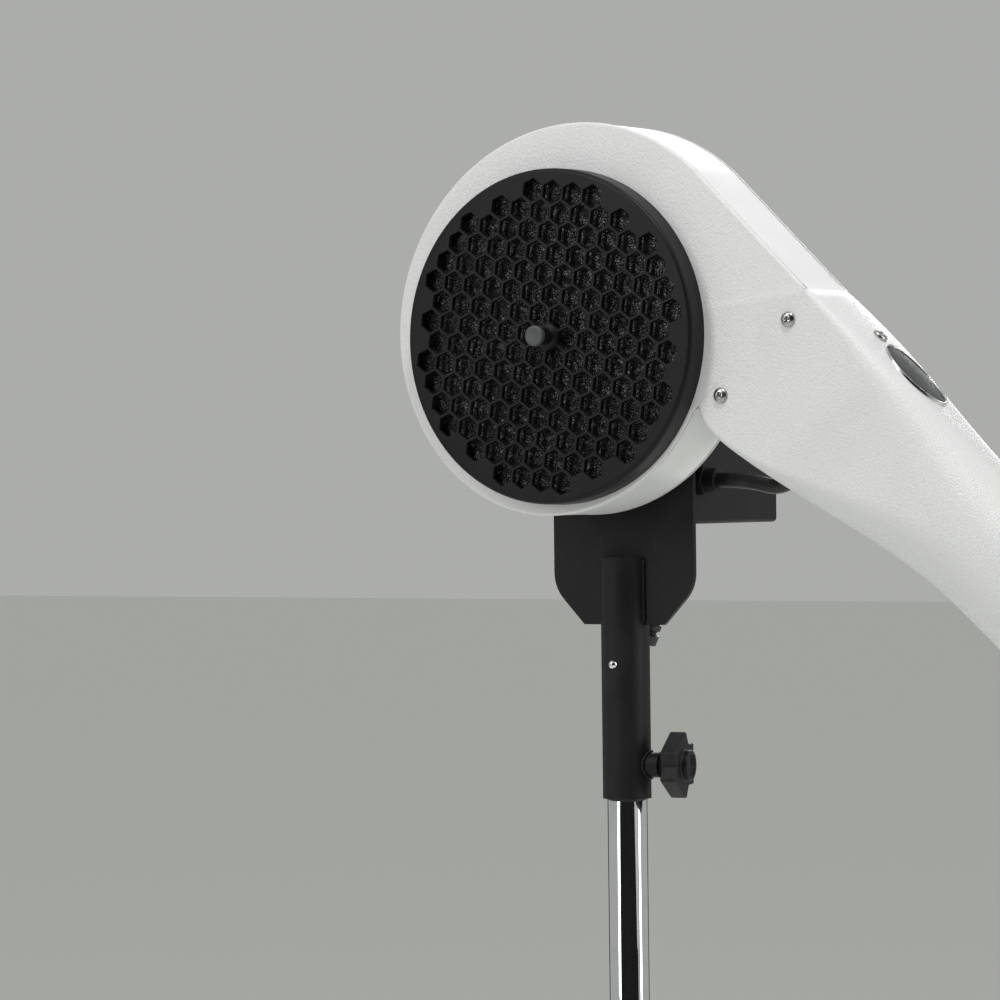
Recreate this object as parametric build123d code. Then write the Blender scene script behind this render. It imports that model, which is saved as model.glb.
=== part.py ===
from build123d import *
import math
import os

# A stand dryer: a snail-shaped blower with a long downward nozzle, driven by a finned motor, on a
# telescopic chrome pole with a five-armed caster base. Millimetres. The origin is on the floor on
# the pole's axis, +Z is up, +X is the side that the nozzle points to and +Y is the motor side.

# ---- Driving dimensions -------------------------------------------------------------------------
fan_height = 1180.0           # floor to the fan's axis

volute_radius = 103.5         # scroll radius at the cutoff, where the spiral starts
volute_stations = [           # clockwise sweep in degrees from the cutoff, radius / volute_radius
    (0, 1.0), (40, 1.014), (80, 1.070), (120, 1.121), (160, 1.155), (200, 1.182), (240, 1.239),
    (265, 1.285),
]
throat_ratio = 1.315          # top wall's distance from the fan axis / volute_radius
cutoff_angle = 17.5           # cutoff above the flow direction, seen from the fan axis
outlet_slope = 44.6           # flow direction below the horizontal
intake_face = -70.9           # flat face on the intake side
motor_face = -18.4            # flat face on the motor side
wall = 3.0

nozzle_axis_drop = 34.3       # top wall to the axis of the round tube
nozzle_stations = [           # along the flow; rise above, drop below the axis; half width; corner
    (0.0, 34.3, 70.5, 26.2, 4.0),
    (24.0, 39.2, 69.6, 26.6, 8.0),
    (62.0, 38.4, 62.5, 28.5, 16.0),
    (117.0, 37.7, 51.0, 33.0, 28.0),
    (181.0, 37.8, 37.8, 37.8, 36.0),
    (351.0, 31.7, 31.7, 31.7, 30.4),
]
outlet_radius = 31.0
outlet_length = 25.0
outlet_wall = 2.4

inlet_radius = 62.0
grille_radius = 101.7
grille_depth = 15.1
grille_field = 98.3
cell_pitch = 14.3
cell_rib = 1.5
cell_turn = -8.0
foam_thickness = 9.6

impeller_radius = 82.0
impeller_width = 36.0
blade_count = 24

plate_half_width = 51.0
plate_top = 59.0
plate_bottom = -176.8
plate_thickness = 3.0
tongue_half_bottom = 29.0
tongue_chamfer_top = -154.0
pan_bottom = -85.0

motor_envelope = 52.0
motor_core = 46.0
motor_start = 12.0
motor_end = 100.0
fin_count = 9
fin_pitch = 9.2
fin_thickness = 2.4
cowl_radius = 54.4
cowl_start = 97.0
cowl_end = 140.0
shaft_radius = 6.0
bearing_radius = 13.0

box_left = -46.6
box_right = 39.4
box_front = 121.35
box_bottom = -114.9
box_top = -60.8
box_wall = 2.5
module_spacing = 37.0
rocker_width = 32.0
rocker_height = 30.0
rocker_tilt = 6.0

pole_radius = 12.5
pole_fit = 0.1
collar_radius = pole_radius + 2.57
collar_top = -135.0
collar_bottom = -284.4
pin_height = -201.0
knob_height = -263.6
knob_radius = 21.5
knob_turn = 12.6              # clamp knob's axis, turned from X toward the motor

column_radius = pole_radius + 4.5
column_top = 560.0
column_bottom = 95.0
pole_bottom = 300.0
column_knob_height = 532.0

hub_radius = 34.0
hub_bottom = 80.0
hub_top = 128.0
leg_count = 5
leg_reach = 275.0
leg_width = 24.0
wheel_radius = 25.0
wheel_width = 18.0
caster_trail = 17.0
stem_radius = 5.0
running = 0.06                # radial clearance of every pin that turns in a hole

# ---- Derived places -----------------------------------------------------------------------------
mouth_s = volute_radius * math.cos(math.radians(cutoff_angle))
throat_n = volute_radius * throat_ratio
tube_n = throat_n - nozzle_axis_drop
mid_y = (intake_face + motor_face) / 2
slope = math.radians(outlet_slope)
flow = Vector(math.cos(slope), 0, -math.sin(slope))
nozzle_length = nozzle_stations[-1][0]
box_middle_x = (box_left + box_right) / 2
box_middle_z = (box_bottom + box_top) / 2
plate_front = plate_thickness / 2
plate_back = -plate_thickness / 2
grille_front = intake_face - grille_depth


# ---- Small helpers ------------------------------------------------------------------------------
def y_cylinder(radius, start, end, x=0.0, z=0.0):
    """Cylinder along Y between two heights."""
    return Pos(x, (start + end) / 2, z) * Rot(90, 0, 0) * Cylinder(radius, end - start)


def x_cylinder(radius, start, end, y=0.0, z=0.0):
    """Cylinder along X between two places."""
    return Pos((start + end) / 2, y, z) * Rot(0, 90, 0) * Cylinder(radius, end - start)


def z_cylinder(radius, start, end, x=0.0, y=0.0):
    """Upright cylinder between two heights."""
    return Pos(x, y, (start + end) / 2) * Cylinder(radius, end - start)


def block(x_low, x_high, y_low, y_high, z_low, z_high):
    """Box given by its six limits."""
    size = (x_high - x_low, y_high - y_low, z_high - z_low)
    centre = ((x_low + x_high) / 2, (y_low + y_high) / 2, (z_low + z_high) / 2)
    return Pos(*centre) * Box(*size)


def slab(sketch, y_low, y_high):
    """Extrude a sketch drawn in X and Z between two Y places."""
    return extrude(Plane.XZ.offset(-y_high) * sketch, amount=y_high - y_low)


def flow_xz(along, across):
    """X and Z of a point given along the flow and square to it, from the fan axis."""
    x = along * math.cos(slope) + across * math.sin(slope)
    z = -along * math.sin(slope) + across * math.cos(slope)
    return (x, z)


def flow_plane(along, across=tube_n, y=mid_y):
    """Plane square to the flow: local x is +Y and local y points up from the tube."""
    x, z = flow_xz(along, across)
    return Plane(origin=(x, y, z), x_dir=(0, 1, 0), z_dir=flow)


def star_knob(start, height, stud_start):
    """Three-lobed hand knob on a stud, turning about X."""
    lobe_end = knob_radius * 0.79
    grip = Circle(knob_radius * 0.62)
    for lobe in PolarLocations(0, 3):
        grip += lobe * Pos(lobe_end / 2, 0) * RectangleRounded(lobe_end, knob_radius * 1.2, 2.0)
    for flank in PolarLocations(knob_radius * 1.14, 3, start_angle=60):
        grip -= flank * Circle(knob_radius * 0.4)
    body = extrude(Plane.YZ.offset(start + 4.0) * grip, amount=10.4)
    body += x_cylinder(knob_radius * 0.32, start, start + 4.0)
    body += x_cylinder(knob_radius * 0.44, start + 14.4, start + 18.8)
    body -= x_cylinder(knob_radius * 0.33, start + 16.8, start + 20.0)
    body += x_cylinder(4.0, stud_start, start)
    return Pos(0, 0, height) * body


# ---- Housing ------------------------------------------------------------------------------------
def volute_point(sweep, radius):
    """Point of the scroll at a clockwise sweep from the cutoff."""
    angle = math.radians(cutoff_angle - outlet_slope - sweep)
    return (radius * math.cos(angle), radius * math.sin(angle))


def volute_face(inset):
    """Flat outline of the scroll, a spiral closed by the straight throat and the mouth."""
    points = [volute_point(sweep, volute_radius * ratio - inset) for sweep, ratio in volute_stations]
    points.append(flow_xz(0, throat_n - inset))
    spiral = Spline(*points)
    top = flow_xz(mouth_s - inset, throat_n - inset)
    return make_face([spiral, Line(points[-1], top), Line(top, points[0])])


def mouth_opening():
    """Rectangle that opens the scroll band towards the nozzle."""
    low = mouth_s * math.tan(math.radians(cutoff_angle)) + wall
    high = throat_n - wall
    centre = flow_xz(mouth_s, (low + high) / 2)
    return Pos(*centre) * Rot(0, 0, -outlet_slope) * Rectangle(16.0, high - low)


def scroll_band():
    """Curved wall between the two cheeks, open at the mouth."""
    ring = volute_face(0) - volute_face(wall) - mouth_opening()
    return slab(ring, intake_face + wall, motor_face - wall)


def cheek_intake():
    """Flat side with the round air inlet."""
    face = volute_face(0) - Circle(inlet_radius)
    return slab(face, intake_face, intake_face + wall)


def cheek_motor():
    """Flat side with the large round opening that the motor disc closes."""
    disc_hole = volute_radius * 0.955
    return slab(volute_face(0) - Circle(disc_hole), motor_face - wall, motor_face)


def disc_screw_places():
    """Five screw centres on the motor disc."""
    angles = [59.5 + 72.0 * step for step in range(5)]
    reach = volute_radius * 0.90
    return [(reach * math.cos(math.radians(a)), reach * math.sin(math.radians(a))) for a in angles]


def plate_bolt_places():
    """Four bolt centres at the corners of the bracket pan."""
    across = plate_half_width - 9.0
    return [(x, z) for x in (-across, across) for z in (-50.0, 49.0)]


def motor_disc():
    """Round cover on the motor side that carries the bracket."""
    face = Circle(volute_radius * 0.955 - 0.1) - Circle(16.0)
    for x, z in disc_screw_places():
        face -= Pos(x, z) * Circle(2.2)
    for x, z in plate_bolt_places():
        face -= Pos(x, z) * Circle(2.6)
    return slab(face, motor_face - wall, motor_face)


def disc_screws():
    """Pan-head screws of the motor disc."""
    screws = []
    for x, z in disc_screw_places():
        head = y_cylinder(4.4, motor_face, motor_face + 2.4, x, z)
        screws.append(head + y_cylinder(2.1, motor_face - wall, motor_face, x, z))
    return Compound(children=screws)


def nozzle_section(along, rise, drop, half, corner, inset):
    """Rounded rectangle of the nozzle at one station."""
    centre = (rise - drop) / 2
    outline = RectangleRounded(2 * (half - inset), rise + drop - 2 * inset, corner - inset)
    return flow_plane(mouth_s + along) * Pos(0, centre) * outline


def nozzle_solid(inset):
    """Nozzle body at one inset from its outer face, run past both ends when it is the hollow."""
    first = nozzle_stations[0]
    last = nozzle_stations[-1]
    stations = list(nozzle_stations)
    if inset > 0:
        stations = [(-5.0,) + first[1:]] + stations[1:-1] + [(last[0] + 5.0,) + last[1:]]
    return loft([nozzle_section(*station, inset) for station in stations], ruled=True)


def nozzle_screw_places():
    """Distance along and across the flow of the two side screws."""
    return [(mouth_s + 10.5, throat_n - 20.5), (mouth_s + 8.0, throat_n - 84.0)]


def nozzle_shell():
    """Hollow nozzle that blends from the flat mouth to the round tube."""
    shell = nozzle_solid(0) - nozzle_solid(2.6)
    for along, across in nozzle_screw_places():
        x, z = flow_xz(along, across)
        shell -= y_cylinder(2.2, intake_face - 8, motor_face + 8, x, z)
    return shell


def mouth_sleeve():
    """Rectangular sleeve inside the joint between scroll and nozzle."""
    low = mouth_s * math.tan(math.radians(cutoff_angle)) + wall + 0.4
    high = throat_n - wall - 0.4
    depth = motor_face - intake_face - 2 * wall - 0.6
    place = flow_plane(mouth_s - 7.5, (low + high) / 2)
    ring = RectangleRounded(depth, high - low, 5.0) - Rectangle(depth - 4, high - low - 4)
    sleeve = extrude(place * ring, amount=24.0)
    for along, across in nozzle_screw_places():
        x, z = flow_xz(along, across)
        sleeve -= y_cylinder(1.6, intake_face, motor_face, x, z)
    return sleeve


def nozzle_screws():
    """Pan-head screws on both sides of the joint."""
    screws = []
    for along, across in nozzle_screw_places():
        x, z = flow_xz(along, across)
        for side in (-1, 1):
            face = mid_y + side * (nozzle_stations[0][3] + 0.35)
            low, high = sorted((face, face + side * 2.4))
            head = y_cylinder(4.6, low, high, x, z)
            low, high = sorted((face - side * 7.0, face))
            screws.append(head + y_cylinder(1.55, low, high, x, z))
    return Compound(children=screws)


def badge():
    """Oval plate on top of the nozzle."""
    rise = nozzle_stations[2][1]
    x, z = flow_xz(mouth_s + 84.0, tube_n + rise + 0.15)
    top = Plane(origin=(x, mid_y, z), x_dir=flow, z_dir=(math.sin(slope), 0, math.cos(slope)))
    return extrude(top * Ellipse(25.0, 14.5), amount=1.6)


def outlet_ring():
    """Straight spigot at the end of the nozzle."""
    ring = Circle(outlet_radius) - Circle(outlet_radius - outlet_wall)
    return extrude(flow_plane(mouth_s + nozzle_length) * ring, amount=outlet_length)


def outlet_guard():
    """Safety spider across the tube, in front of the heater."""
    ring = Circle(31.6) - Circle(29.6)
    for turn in range(0, 180, 45):
        ring += Rot(0, 0, turn) * Rectangle(61.0, 1.8)
    ring += Circle(13.0) - Circle(11.4)
    return extrude(flow_plane(mouth_s + nozzle_length - 78.0) * ring, amount=2.0)


def heater_element():
    """Crossed insulating boards that carry the heating coils."""
    length = 86.0
    place = flow_plane(mouth_s + nozzle_length - 170.0)
    boards = Rectangle(60.0, 1.6) + Rectangle(1.6, 60.0)
    element = extrude(place * boards, amount=length)
    for step in range(6):
        ring = Circle(26.0) - Circle(22.0)
        coil_place = flow_plane(mouth_s + nozzle_length - 162.0 + step * 13.0)
        element += extrude(coil_place * ring, amount=4.0)
    return element


# ---- Intake -------------------------------------------------------------------------------------
def honeycomb():
    """Hexagon cells that fit whole inside the grille's round field."""
    cells = Sketch()
    radius = (cell_pitch - cell_rib) / math.sqrt(3)
    reach = grille_field - cell_pitch * 0.55
    for place in HexLocations(cell_pitch / 2, 17, 17, major_radius=False):
        distance = math.hypot(place.position.X, place.position.Y)
        if cell_pitch * 0.5 < distance < reach:
            cells += place * RegularPolygon(radius, 6)
    return Rot(0, 0, cell_turn) * cells


def intake_grille():
    """Round guard with a rolled rim and a honeycomb field."""
    rim = slab(Circle(grille_radius) - Circle(grille_field), grille_front, intake_face)
    outer_edge = rim.edges().filter_by(GeomType.CIRCLE).filter_by(
        lambda e: abs(e.center().Y - grille_front) < 0.01 and e.radius > grille_field + 1)
    rim = fillet(outer_edge, 2.8)
    field = Circle(grille_field + 0.5) - honeycomb()
    rim += slab(field, grille_front, grille_front + 3.5)
    return rim - y_cylinder(3.4, grille_front - 1, intake_face)


def foam_filter():
    """Round foam pad behind the grille."""
    disc = y_cylinder(grille_field - 1.0, intake_face - foam_thickness, intake_face - 0.2)
    return disc - y_cylinder(3.6, intake_face - 20, intake_face)


def filter_knob():
    """Round cap on a neck that holds grille and foam on the inlet stud."""
    knob = y_cylinder(6.3, grille_front - 14.6, grille_front - 10.6)
    knob += y_cylinder(5.2, grille_front - 10.6, grille_front - 0.2)
    return knob - y_cylinder(3.1, grille_front - 5.5, grille_front)


def inlet_spider():
    """Inlet ring with three arms and the stud for the filter knob."""
    face = Circle(inlet_radius - 0.1) - Circle(inlet_radius - 5.0)
    for arm in range(3):
        face += Rot(0, 0, 30 + 120 * arm) * Pos(inlet_radius / 2 - 1, 0) * Rectangle(inlet_radius - 4, 7)
    face += Circle(10.0)
    spider = slab(face, intake_face, intake_face + wall)
    return spider + y_cylinder(3.0, grille_front - 5.0, intake_face)


# ---- Rotor --------------------------------------------------------------------------------------
def impeller():
    """Blower wheel with a back plate, blades and a front ring."""
    back = -27.0
    front = back - impeller_width
    wheel = y_cylinder(impeller_radius, back - 2, back) + y_cylinder(12.0, back - 22, back)
    wheel += slab(Circle(impeller_radius) - Circle(impeller_radius - 22), front, front + 2)
    blade = Pos(impeller_radius - 12, 0) * Rot(0, 0, 35) * Rectangle(20, 1.6)
    blades = Sketch()
    for turn in range(blade_count):
        blades += Rot(0, 0, turn * 360 / blade_count) * blade
    wheel += slab(blades, front + 1, back - 1)
    return wheel - y_cylinder(shaft_radius, front - 1, back + 1)


def motor_shaft():
    """Shaft through the motor, from the impeller to the cooling fan."""
    return y_cylinder(shaft_radius, -50.0, 128.0)


def rotor_core():
    """Laminated rotor on the shaft."""
    return y_cylinder(27.4, 24.0, 82.0) - y_cylinder(shaft_radius, 20.0, 90.0)


def cooling_fan():
    """Fan under the cowl that cools the motor."""
    hub = Circle(14.0)
    for turn in range(6):
        hub += Rot(0, 0, 60 * turn) * Pos(28.0, 0) * Rectangle(34.0, 3.0)
    return slab(hub, 106.0, 124.0) - y_cylinder(shaft_radius, 100.0, 130.0)


# ---- Motor --------------------------------------------------------------------------------------
def motor_flange():
    """Front end shield, centred in the bracket plate."""
    shield = y_cylinder(motor_envelope, plate_front, motor_start)
    shield += y_cylinder(19.8, plate_back - 4.0, plate_front)
    shield -= y_cylinder(bearing_radius, plate_front, motor_start)
    return shield - y_cylinder(shaft_radius + 1.0, -10.0, motor_start)


def motor_body():
    """Finned frame of the motor with its rear bearing wall."""
    outline = Circle(motor_core)
    for step in range(fin_count):
        z = (step - (fin_count - 1) / 2) * fin_pitch
        half = math.sqrt(motor_envelope ** 2 - (abs(z) + fin_thickness / 2) ** 2)
        outline += Pos(0, z) * Rectangle(2 * half, fin_thickness)
    body = slab(outline, motor_start, motor_end)
    body -= y_cylinder(40.0, motor_start, motor_end - 8.0)
    return body - y_cylinder(bearing_radius, motor_end - 8.0, motor_end)


def stator():
    """Wound stator pack pressed into the frame."""
    return slab(Circle(40.0) - Circle(28.0), 27.0, 79.0)


def bearings():
    """Two ball bearings, one in each end of the motor."""
    front = slab(Circle(bearing_radius) - Circle(shaft_radius + running), plate_front, motor_start)
    rear = slab(Circle(bearing_radius) - Circle(shaft_radius + running), motor_end - 8.0, motor_end)
    return Compound(children=[front, rear])


def fan_cowl():
    """Perforated cap over the cooling fan."""
    cowl = y_cylinder(cowl_radius, cowl_start, cowl_end)
    end_edge = [e for e in cowl.edges() if abs(e.center().Y - cowl_end) < 0.01]
    cowl = fillet(end_edge, 12.0)
    hollow = y_cylinder(cowl_radius - 2.0, cowl_start - 1.0, cowl_end - 2.0)
    inner_edge = [e for e in hollow.edges() if abs(e.center().Y - cowl_end + 2.0) < 0.01]
    cowl -= fillet(inner_edge, 10.5)
    holes = Sketch()
    for place in GridLocations(7.4, 7.4, 11, 11):
        if math.hypot(place.position.X, place.position.Y) < 38.0:
            holes += place * Circle(2.3)
    return cowl - slab(holes, cowl_end - 8.0, cowl_end + 1.0)


def terminal_block():
    """Wiring block between the motor and the switch box."""
    base = block(-30.0, 30.0, 14.0, 72.0, box_top, -36.0)
    return base - y_cylinder(motor_envelope + 0.2, 0.0, 100.0)


# ---- Bracket ------------------------------------------------------------------------------------
def bracket_plate():
    """Pressed pan that carries motor and box, with a tongue down into the collar."""
    corners = [
        (-plate_half_width, plate_top), (plate_half_width, plate_top),
        (plate_half_width, tongue_chamfer_top), (tongue_half_bottom, plate_bottom),
        (-tongue_half_bottom, plate_bottom), (-plate_half_width, tongue_chamfer_top),
    ]
    face = make_face(Polyline(*corners, close=True))
    face = fillet(face.vertices().group_by(Axis.Y)[-1], 9.0)
    face = fillet(face.vertices().filter_by(lambda v: abs(v.Y - tongue_chamfer_top) < 0.01), 24.0)
    plate = slab(face - Circle(20.0), plate_back, plate_front)
    pan_height = plate_top - pan_bottom
    rim = RectangleRounded(2 * plate_half_width, pan_height + 20, 9.0)
    rim -= RectangleRounded(2 * plate_half_width - 6, pan_height + 14, 6.0)
    rim = Pos(0, (plate_top + pan_bottom) / 2 - 10) * rim
    walls = slab(rim, motor_face, plate_back)
    walls -= block(-60, 60, -30, 10, pan_bottom - 60, pan_bottom)
    plate += walls
    for x, z in plate_bolt_places():
        plate -= y_cylinder(2.6, plate_back - 1, plate_front + 1, x, z)
    return plate


def bracket_bolts():
    """Four bolts through plate and disc, each with its spacer sleeve."""
    bolts = []
    for x, z in plate_bolt_places():
        bolt = y_cylinder(2.5, motor_face - wall, plate_front, x, z)
        bolt += y_cylinder(4.6, plate_front, plate_front + 3.4, x, z)
        bolts.append(bolt + y_cylinder(4.5, motor_face, plate_back, x, z))
    return Compound(children=bolts)


def collar_tube():
    """Tube that slips over the pole, slotted at the top around the tongue."""
    tube = z_cylinder(collar_radius, collar_bottom, collar_top)
    tube -= z_cylinder(pole_radius + pole_fit, collar_bottom - 1, collar_top + 1)
    slot_half = plate_front + 0.05
    tube -= block(-20, 20, -slot_half, slot_half, plate_bottom - 0.1, collar_top + 1)
    tube -= y_cylinder(2.4, -20, 20, 0, pin_height)
    return tube - Rot(0, 0, knob_turn) * x_cylinder(4.0 + running, 5, 20, 0, knob_height)


def stop_pin():
    """Dome-headed cross pin that the pole's end rests against."""
    pin = y_cylinder(2.4, -collar_radius - 0.5, collar_radius + 0.5, 0, pin_height)
    for side in (-1, 1):
        dome = Pos(0, side * (collar_radius - 0.6), pin_height) * Sphere(3.0)
        pin += dome - y_cylinder(collar_radius + 0.3, -5, 5) - z_cylinder(
            collar_radius + 0.2, pin_height - 10, pin_height + 10)
    return pin


def clamp_boss():
    """Threaded boss welded to the collar for the clamp knob."""
    boss = x_cylinder(7.9, 10.0, 22.0, 0, knob_height)
    boss -= z_cylinder(collar_radius, knob_height - 20, knob_height + 20)
    return Rot(0, 0, knob_turn) * (boss - x_cylinder(4.0 + running, 5, 30, 0, knob_height))


# ---- Switch box ---------------------------------------------------------------------------------
def module_centres():
    """X of the two switch modules, power first."""
    return [box_middle_x + module_spacing / 2, box_middle_x - module_spacing / 2]


def control_box():
    """Open-fronted steel box under the motor."""
    shell = block(box_left, box_right, plate_front, box_front, box_bottom, box_top)
    shell = fillet(shell.edges().filter_by(Axis.Y), 3.0)
    hollow = block(
        box_left + box_wall, box_right - box_wall, plate_front + box_wall, box_front + 1,
        box_bottom + box_wall, box_top - box_wall)
    shell -= hollow
    shell -= x_cylinder(6.0, box_right - 5, box_right + 1, 27.0, -88.0)
    return shell - z_cylinder(7.0, box_bottom - 1, box_bottom + 5, 10.0, 30.0)


def switch_panel():
    """Recessed panel with two raised module frames."""
    margin = box_wall + 0.15
    panel = block(
        box_left + margin, box_right - margin, box_front - 5.0, box_front - 2.4,
        box_bottom + margin, box_top - margin)
    for x in module_centres():
        panel += block(
            x - 18.2, x + 18.2, box_front - 3.0, box_front - 0.2, box_middle_z - 19.0,
            box_middle_z + 19.0)
    for x in module_centres():
        panel -= block(
            x - rocker_width / 2 - 0.5, x + rocker_width / 2 + 0.5, box_front - 8, box_front + 4,
            box_middle_z - rocker_height / 2 - 1.0, box_middle_z + rocker_height / 2 + 1.0)
        for side in (-1, 1):
            lug_x = x + side * (rocker_width / 2 + 1.4)
            panel += block(
                lug_x - 0.9, lug_x + 0.9, box_front - 10.0, box_front - 4.0, box_middle_z - 4.0,
                box_middle_z + 4.0)
        panel -= x_cylinder(
            1.5 + running, x - 18.4, x + 18.4, box_front - 6.3, box_middle_z)
    return panel


def rocker(x):
    """Rocker key, resting with its lower half pressed in."""
    half = rocker_width / 2
    tall = rocker_height / 2
    key = block(x - half, x + half, -2.0, 6.0, -tall, tall)
    key = fillet(key.edges().filter_by(Axis.X), 1.2)
    key += x_cylinder(1.5, x - half - 2.2, x + half + 2.2)
    return Pos(0, box_front - 6.3, box_middle_z) * Rot(rocker_tilt, 0, 0) * key


def box_gland():
    """Gland on the side of the box where the heater lead goes in."""
    gland = x_cylinder(5.9, box_right - box_wall - 4, box_right, 27.0, -88.0)
    nut = extrude(Plane.YZ.offset(box_right) * Pos(27.0, -88.0) * RegularPolygon(10.0, 6), amount=5.0)
    return gland + nut + x_cylinder(7.6, box_right + 5, box_right + 13.0, 27.0, -88.0)


def lead_grommet():
    """Round rubber grommet on the nozzle-side cheek."""
    x, z = (138.6, 21.9)
    ball = Pos(x, motor_face + 2.2, z) * Sphere(8.8)
    return ball - y_cylinder(20, motor_face - 20, motor_face, x, z) - y_cylinder(
        20, motor_face + 10.0, motor_face + 20, x, z)


def lead_points():
    """Route of the heater lead from the grommet to the box gland."""
    return [
        (138.6, motor_face + 10.0, 21.9), (138.6, 11.0, 21.9), (134.5, 27.5, 6.0),
        (129.5, 29.5, -21.0), (126.0, 28.5, -50.0), (117.0, 28.0, -78.0), (98.0, 27.5, -94.5),
        (74.0, 27.0, -88.0), (box_right + 13.0, 27.0, -88.0),
    ]


def corner_radii(points):
    """Radius at each inner point: 0.45 of the shorter run over the tangent of half the turn."""
    radii = []
    for before, here, after in zip(points, points[1:], points[2:]):
        one = Vector(*here) - Vector(*before)
        two = Vector(*after) - Vector(*here)
        half_turn = math.radians(one.get_angle(two)) / 2
        radii.append(0.45 * min(one.length, two.length) / math.tan(half_turn))
    return radii


def bent_tube(points, radius):
    """Round bar along straight runs joined by arcs."""
    radii = corner_radii(points)
    print("bend radii", [round(value, 1) for value in radii])
    path = FilletPolyline(*points, radius=radii)
    start = Vector(*points[0])
    section = Plane(origin=start, z_dir=Vector(*points[1]) - start) * Circle(radius)
    return sweep(section, path=path)


def heater_lead():
    """Round lead from the nozzle's heater to the switch box."""
    return bent_tube(lead_points(), 4.75)


def mains_gland():
    """Gland under the box for the supply cord."""
    gland = z_cylinder(6.9, box_bottom, box_bottom + box_wall + 4, 10.0, 30.0)
    nut = extrude(Plane.XY.offset(box_bottom - 5) * Pos(10.0, 30.0) * RegularPolygon(11.5, 6), amount=5.0)
    return gland + nut + z_cylinder(8.9, box_bottom - 12, box_bottom - 5, 10.0, 30.0)


def strain_relief():
    """Flexible sleeve hanging from the mains gland."""
    top = box_bottom - 12
    points = [(10.0, 30.0, top), (10.0, 30.0, top - 21), (5.0, 29.2, top - 42), (-3.0, 28.2, top - 62)]
    return bent_tube(points, 7.6)


# ---- Stand --------------------------------------------------------------------------------------
def pole():
    """Chrome pole between column and head."""
    top = fan_height + pin_height - 3.5
    tube = z_cylinder(pole_radius, pole_bottom, top)
    return tube - z_cylinder(pole_radius - 1.5, pole_bottom - 1, top - 3)


def column():
    """Lower tube of the stand with the boss for its clamp knob."""
    tube = z_cylinder(column_radius, column_bottom, column_top)
    tube += x_cylinder(7.0, 14.0, column_radius + 8.0, 0, column_knob_height)
    tube -= z_cylinder(pole_radius + pole_fit, column_bottom + 4, column_top + 1)
    return tube - x_cylinder(4.0 + running, 5, 40, 0, column_knob_height)


def base_hub():
    """Cast hub that holds the column and the five legs."""
    hub = z_cylinder(hub_radius, hub_bottom, hub_top)
    rim = [e for e in hub.edges() if abs(e.center().Z - hub_top) < 0.01]
    hub = fillet(rim, 6.0)
    return hub - z_cylinder(column_radius, column_bottom, hub_top + 1)


def leg(turn):
    """Tapered leg with the caster socket at its end."""
    socket_low = 2 * wheel_radius + 9.0
    profile = [
        (hub_radius - 6, hub_top - 10), (hub_radius - 6, hub_bottom + 3), (leg_reach, socket_low + 1),
        (leg_reach, socket_low + 16),
    ]
    face = make_face(Polyline(*profile, close=True))
    beam = extrude(Plane.XZ.offset(-leg_width / 2) * face, amount=leg_width)
    beam += z_cylinder(leg_width / 2 + 1, socket_low, socket_low + 18, leg_reach)
    beam -= z_cylinder(stem_radius + running, socket_low - 1, socket_low + 14, leg_reach)
    beam -= z_cylinder(hub_radius, 0, hub_top + 20)
    return Rot(0, 0, turn) * beam


def caster_place(turn):
    """Place of one caster on its leg."""
    return Rot(0, 0, turn) * Pos(leg_reach, 0, 0)


def caster_fork():
    """Caster fork with its stem and axle, trailing outwards."""
    socket_low = 2 * wheel_radius + 9.0
    cheek = wheel_width / 2 + 1.2
    crown = 2 * wheel_radius + 5.0
    fork = z_cylinder(stem_radius, crown, socket_low + 13)
    fork += z_cylinder(14.0, crown - 1.0, socket_low - 0.6)
    fork += block(-14.0, caster_trail + 8, -cheek - 2.6, cheek + 2.6, crown - 2.5, crown)
    for side in (-1, 1):
        low, high = sorted((side * cheek, side * (cheek + 2.6)))
        fork += block(-8.0, caster_trail + 8, low, high, wheel_radius - 8, crown)
    return fork + y_cylinder(3.5, -cheek - 4, cheek + 4, caster_trail, wheel_radius)


def caster_wheel():
    """Solid wheel of a caster."""
    wheel = y_cylinder(wheel_radius, -wheel_width / 2, wheel_width / 2, caster_trail, wheel_radius)
    wheel = fillet(wheel.edges(), 3.0)
    return wheel - y_cylinder(3.5 + running, -20, 20, caster_trail, wheel_radius)


# ---- Write every sub-part -----------------------------------------------------------------------
power_x, heat_x = module_centres()
head = {
    "cheek_intake": cheek_intake(),
    "cheek_motor": cheek_motor(),
    "scroll_band": scroll_band(),
    "mouth_sleeve": mouth_sleeve(),
    "nozzle_shell": nozzle_shell(),
    "outlet_ring": outlet_ring(),
    "outlet_guard": outlet_guard(),
    "heater_element": heater_element(),
    "nozzle_screws": nozzle_screws(),
    "badge": badge(),
    "intake_grille": intake_grille(),
    "foam_filter": foam_filter(),
    "filter_knob": filter_knob(),
    "inlet_spider": inlet_spider(),
    "impeller": impeller(),
    "motor_shaft": motor_shaft(),
    "rotor_core": rotor_core(),
    "cooling_fan": cooling_fan(),
    "motor_disc": motor_disc(),
    "disc_screws": disc_screws(),
    "motor_flange": motor_flange(),
    "motor_body": motor_body(),
    "stator": stator(),
    "bearings": bearings(),
    "fan_cowl": fan_cowl(),
    "terminal_block": terminal_block(),
    "bracket_plate": bracket_plate(),
    "bracket_bolts": bracket_bolts(),
    "collar_tube": collar_tube(),
    "stop_pin": stop_pin(),
    "clamp_boss": clamp_boss(),
    "clamp_knob": Rot(0, 0, knob_turn) * star_knob(23.8, knob_height, pole_radius + 0.2),
    "control_box": control_box(),
    "switch_panel": switch_panel(),
    "rocker_power": rocker(power_x),
    "rocker_heat": rocker(heat_x),
    "box_gland": box_gland(),
    "lead_grommet": lead_grommet(),
    "heater_lead": heater_lead(),
    "mains_gland": mains_gland(),
    "strain_relief": strain_relief(),
}
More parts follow.
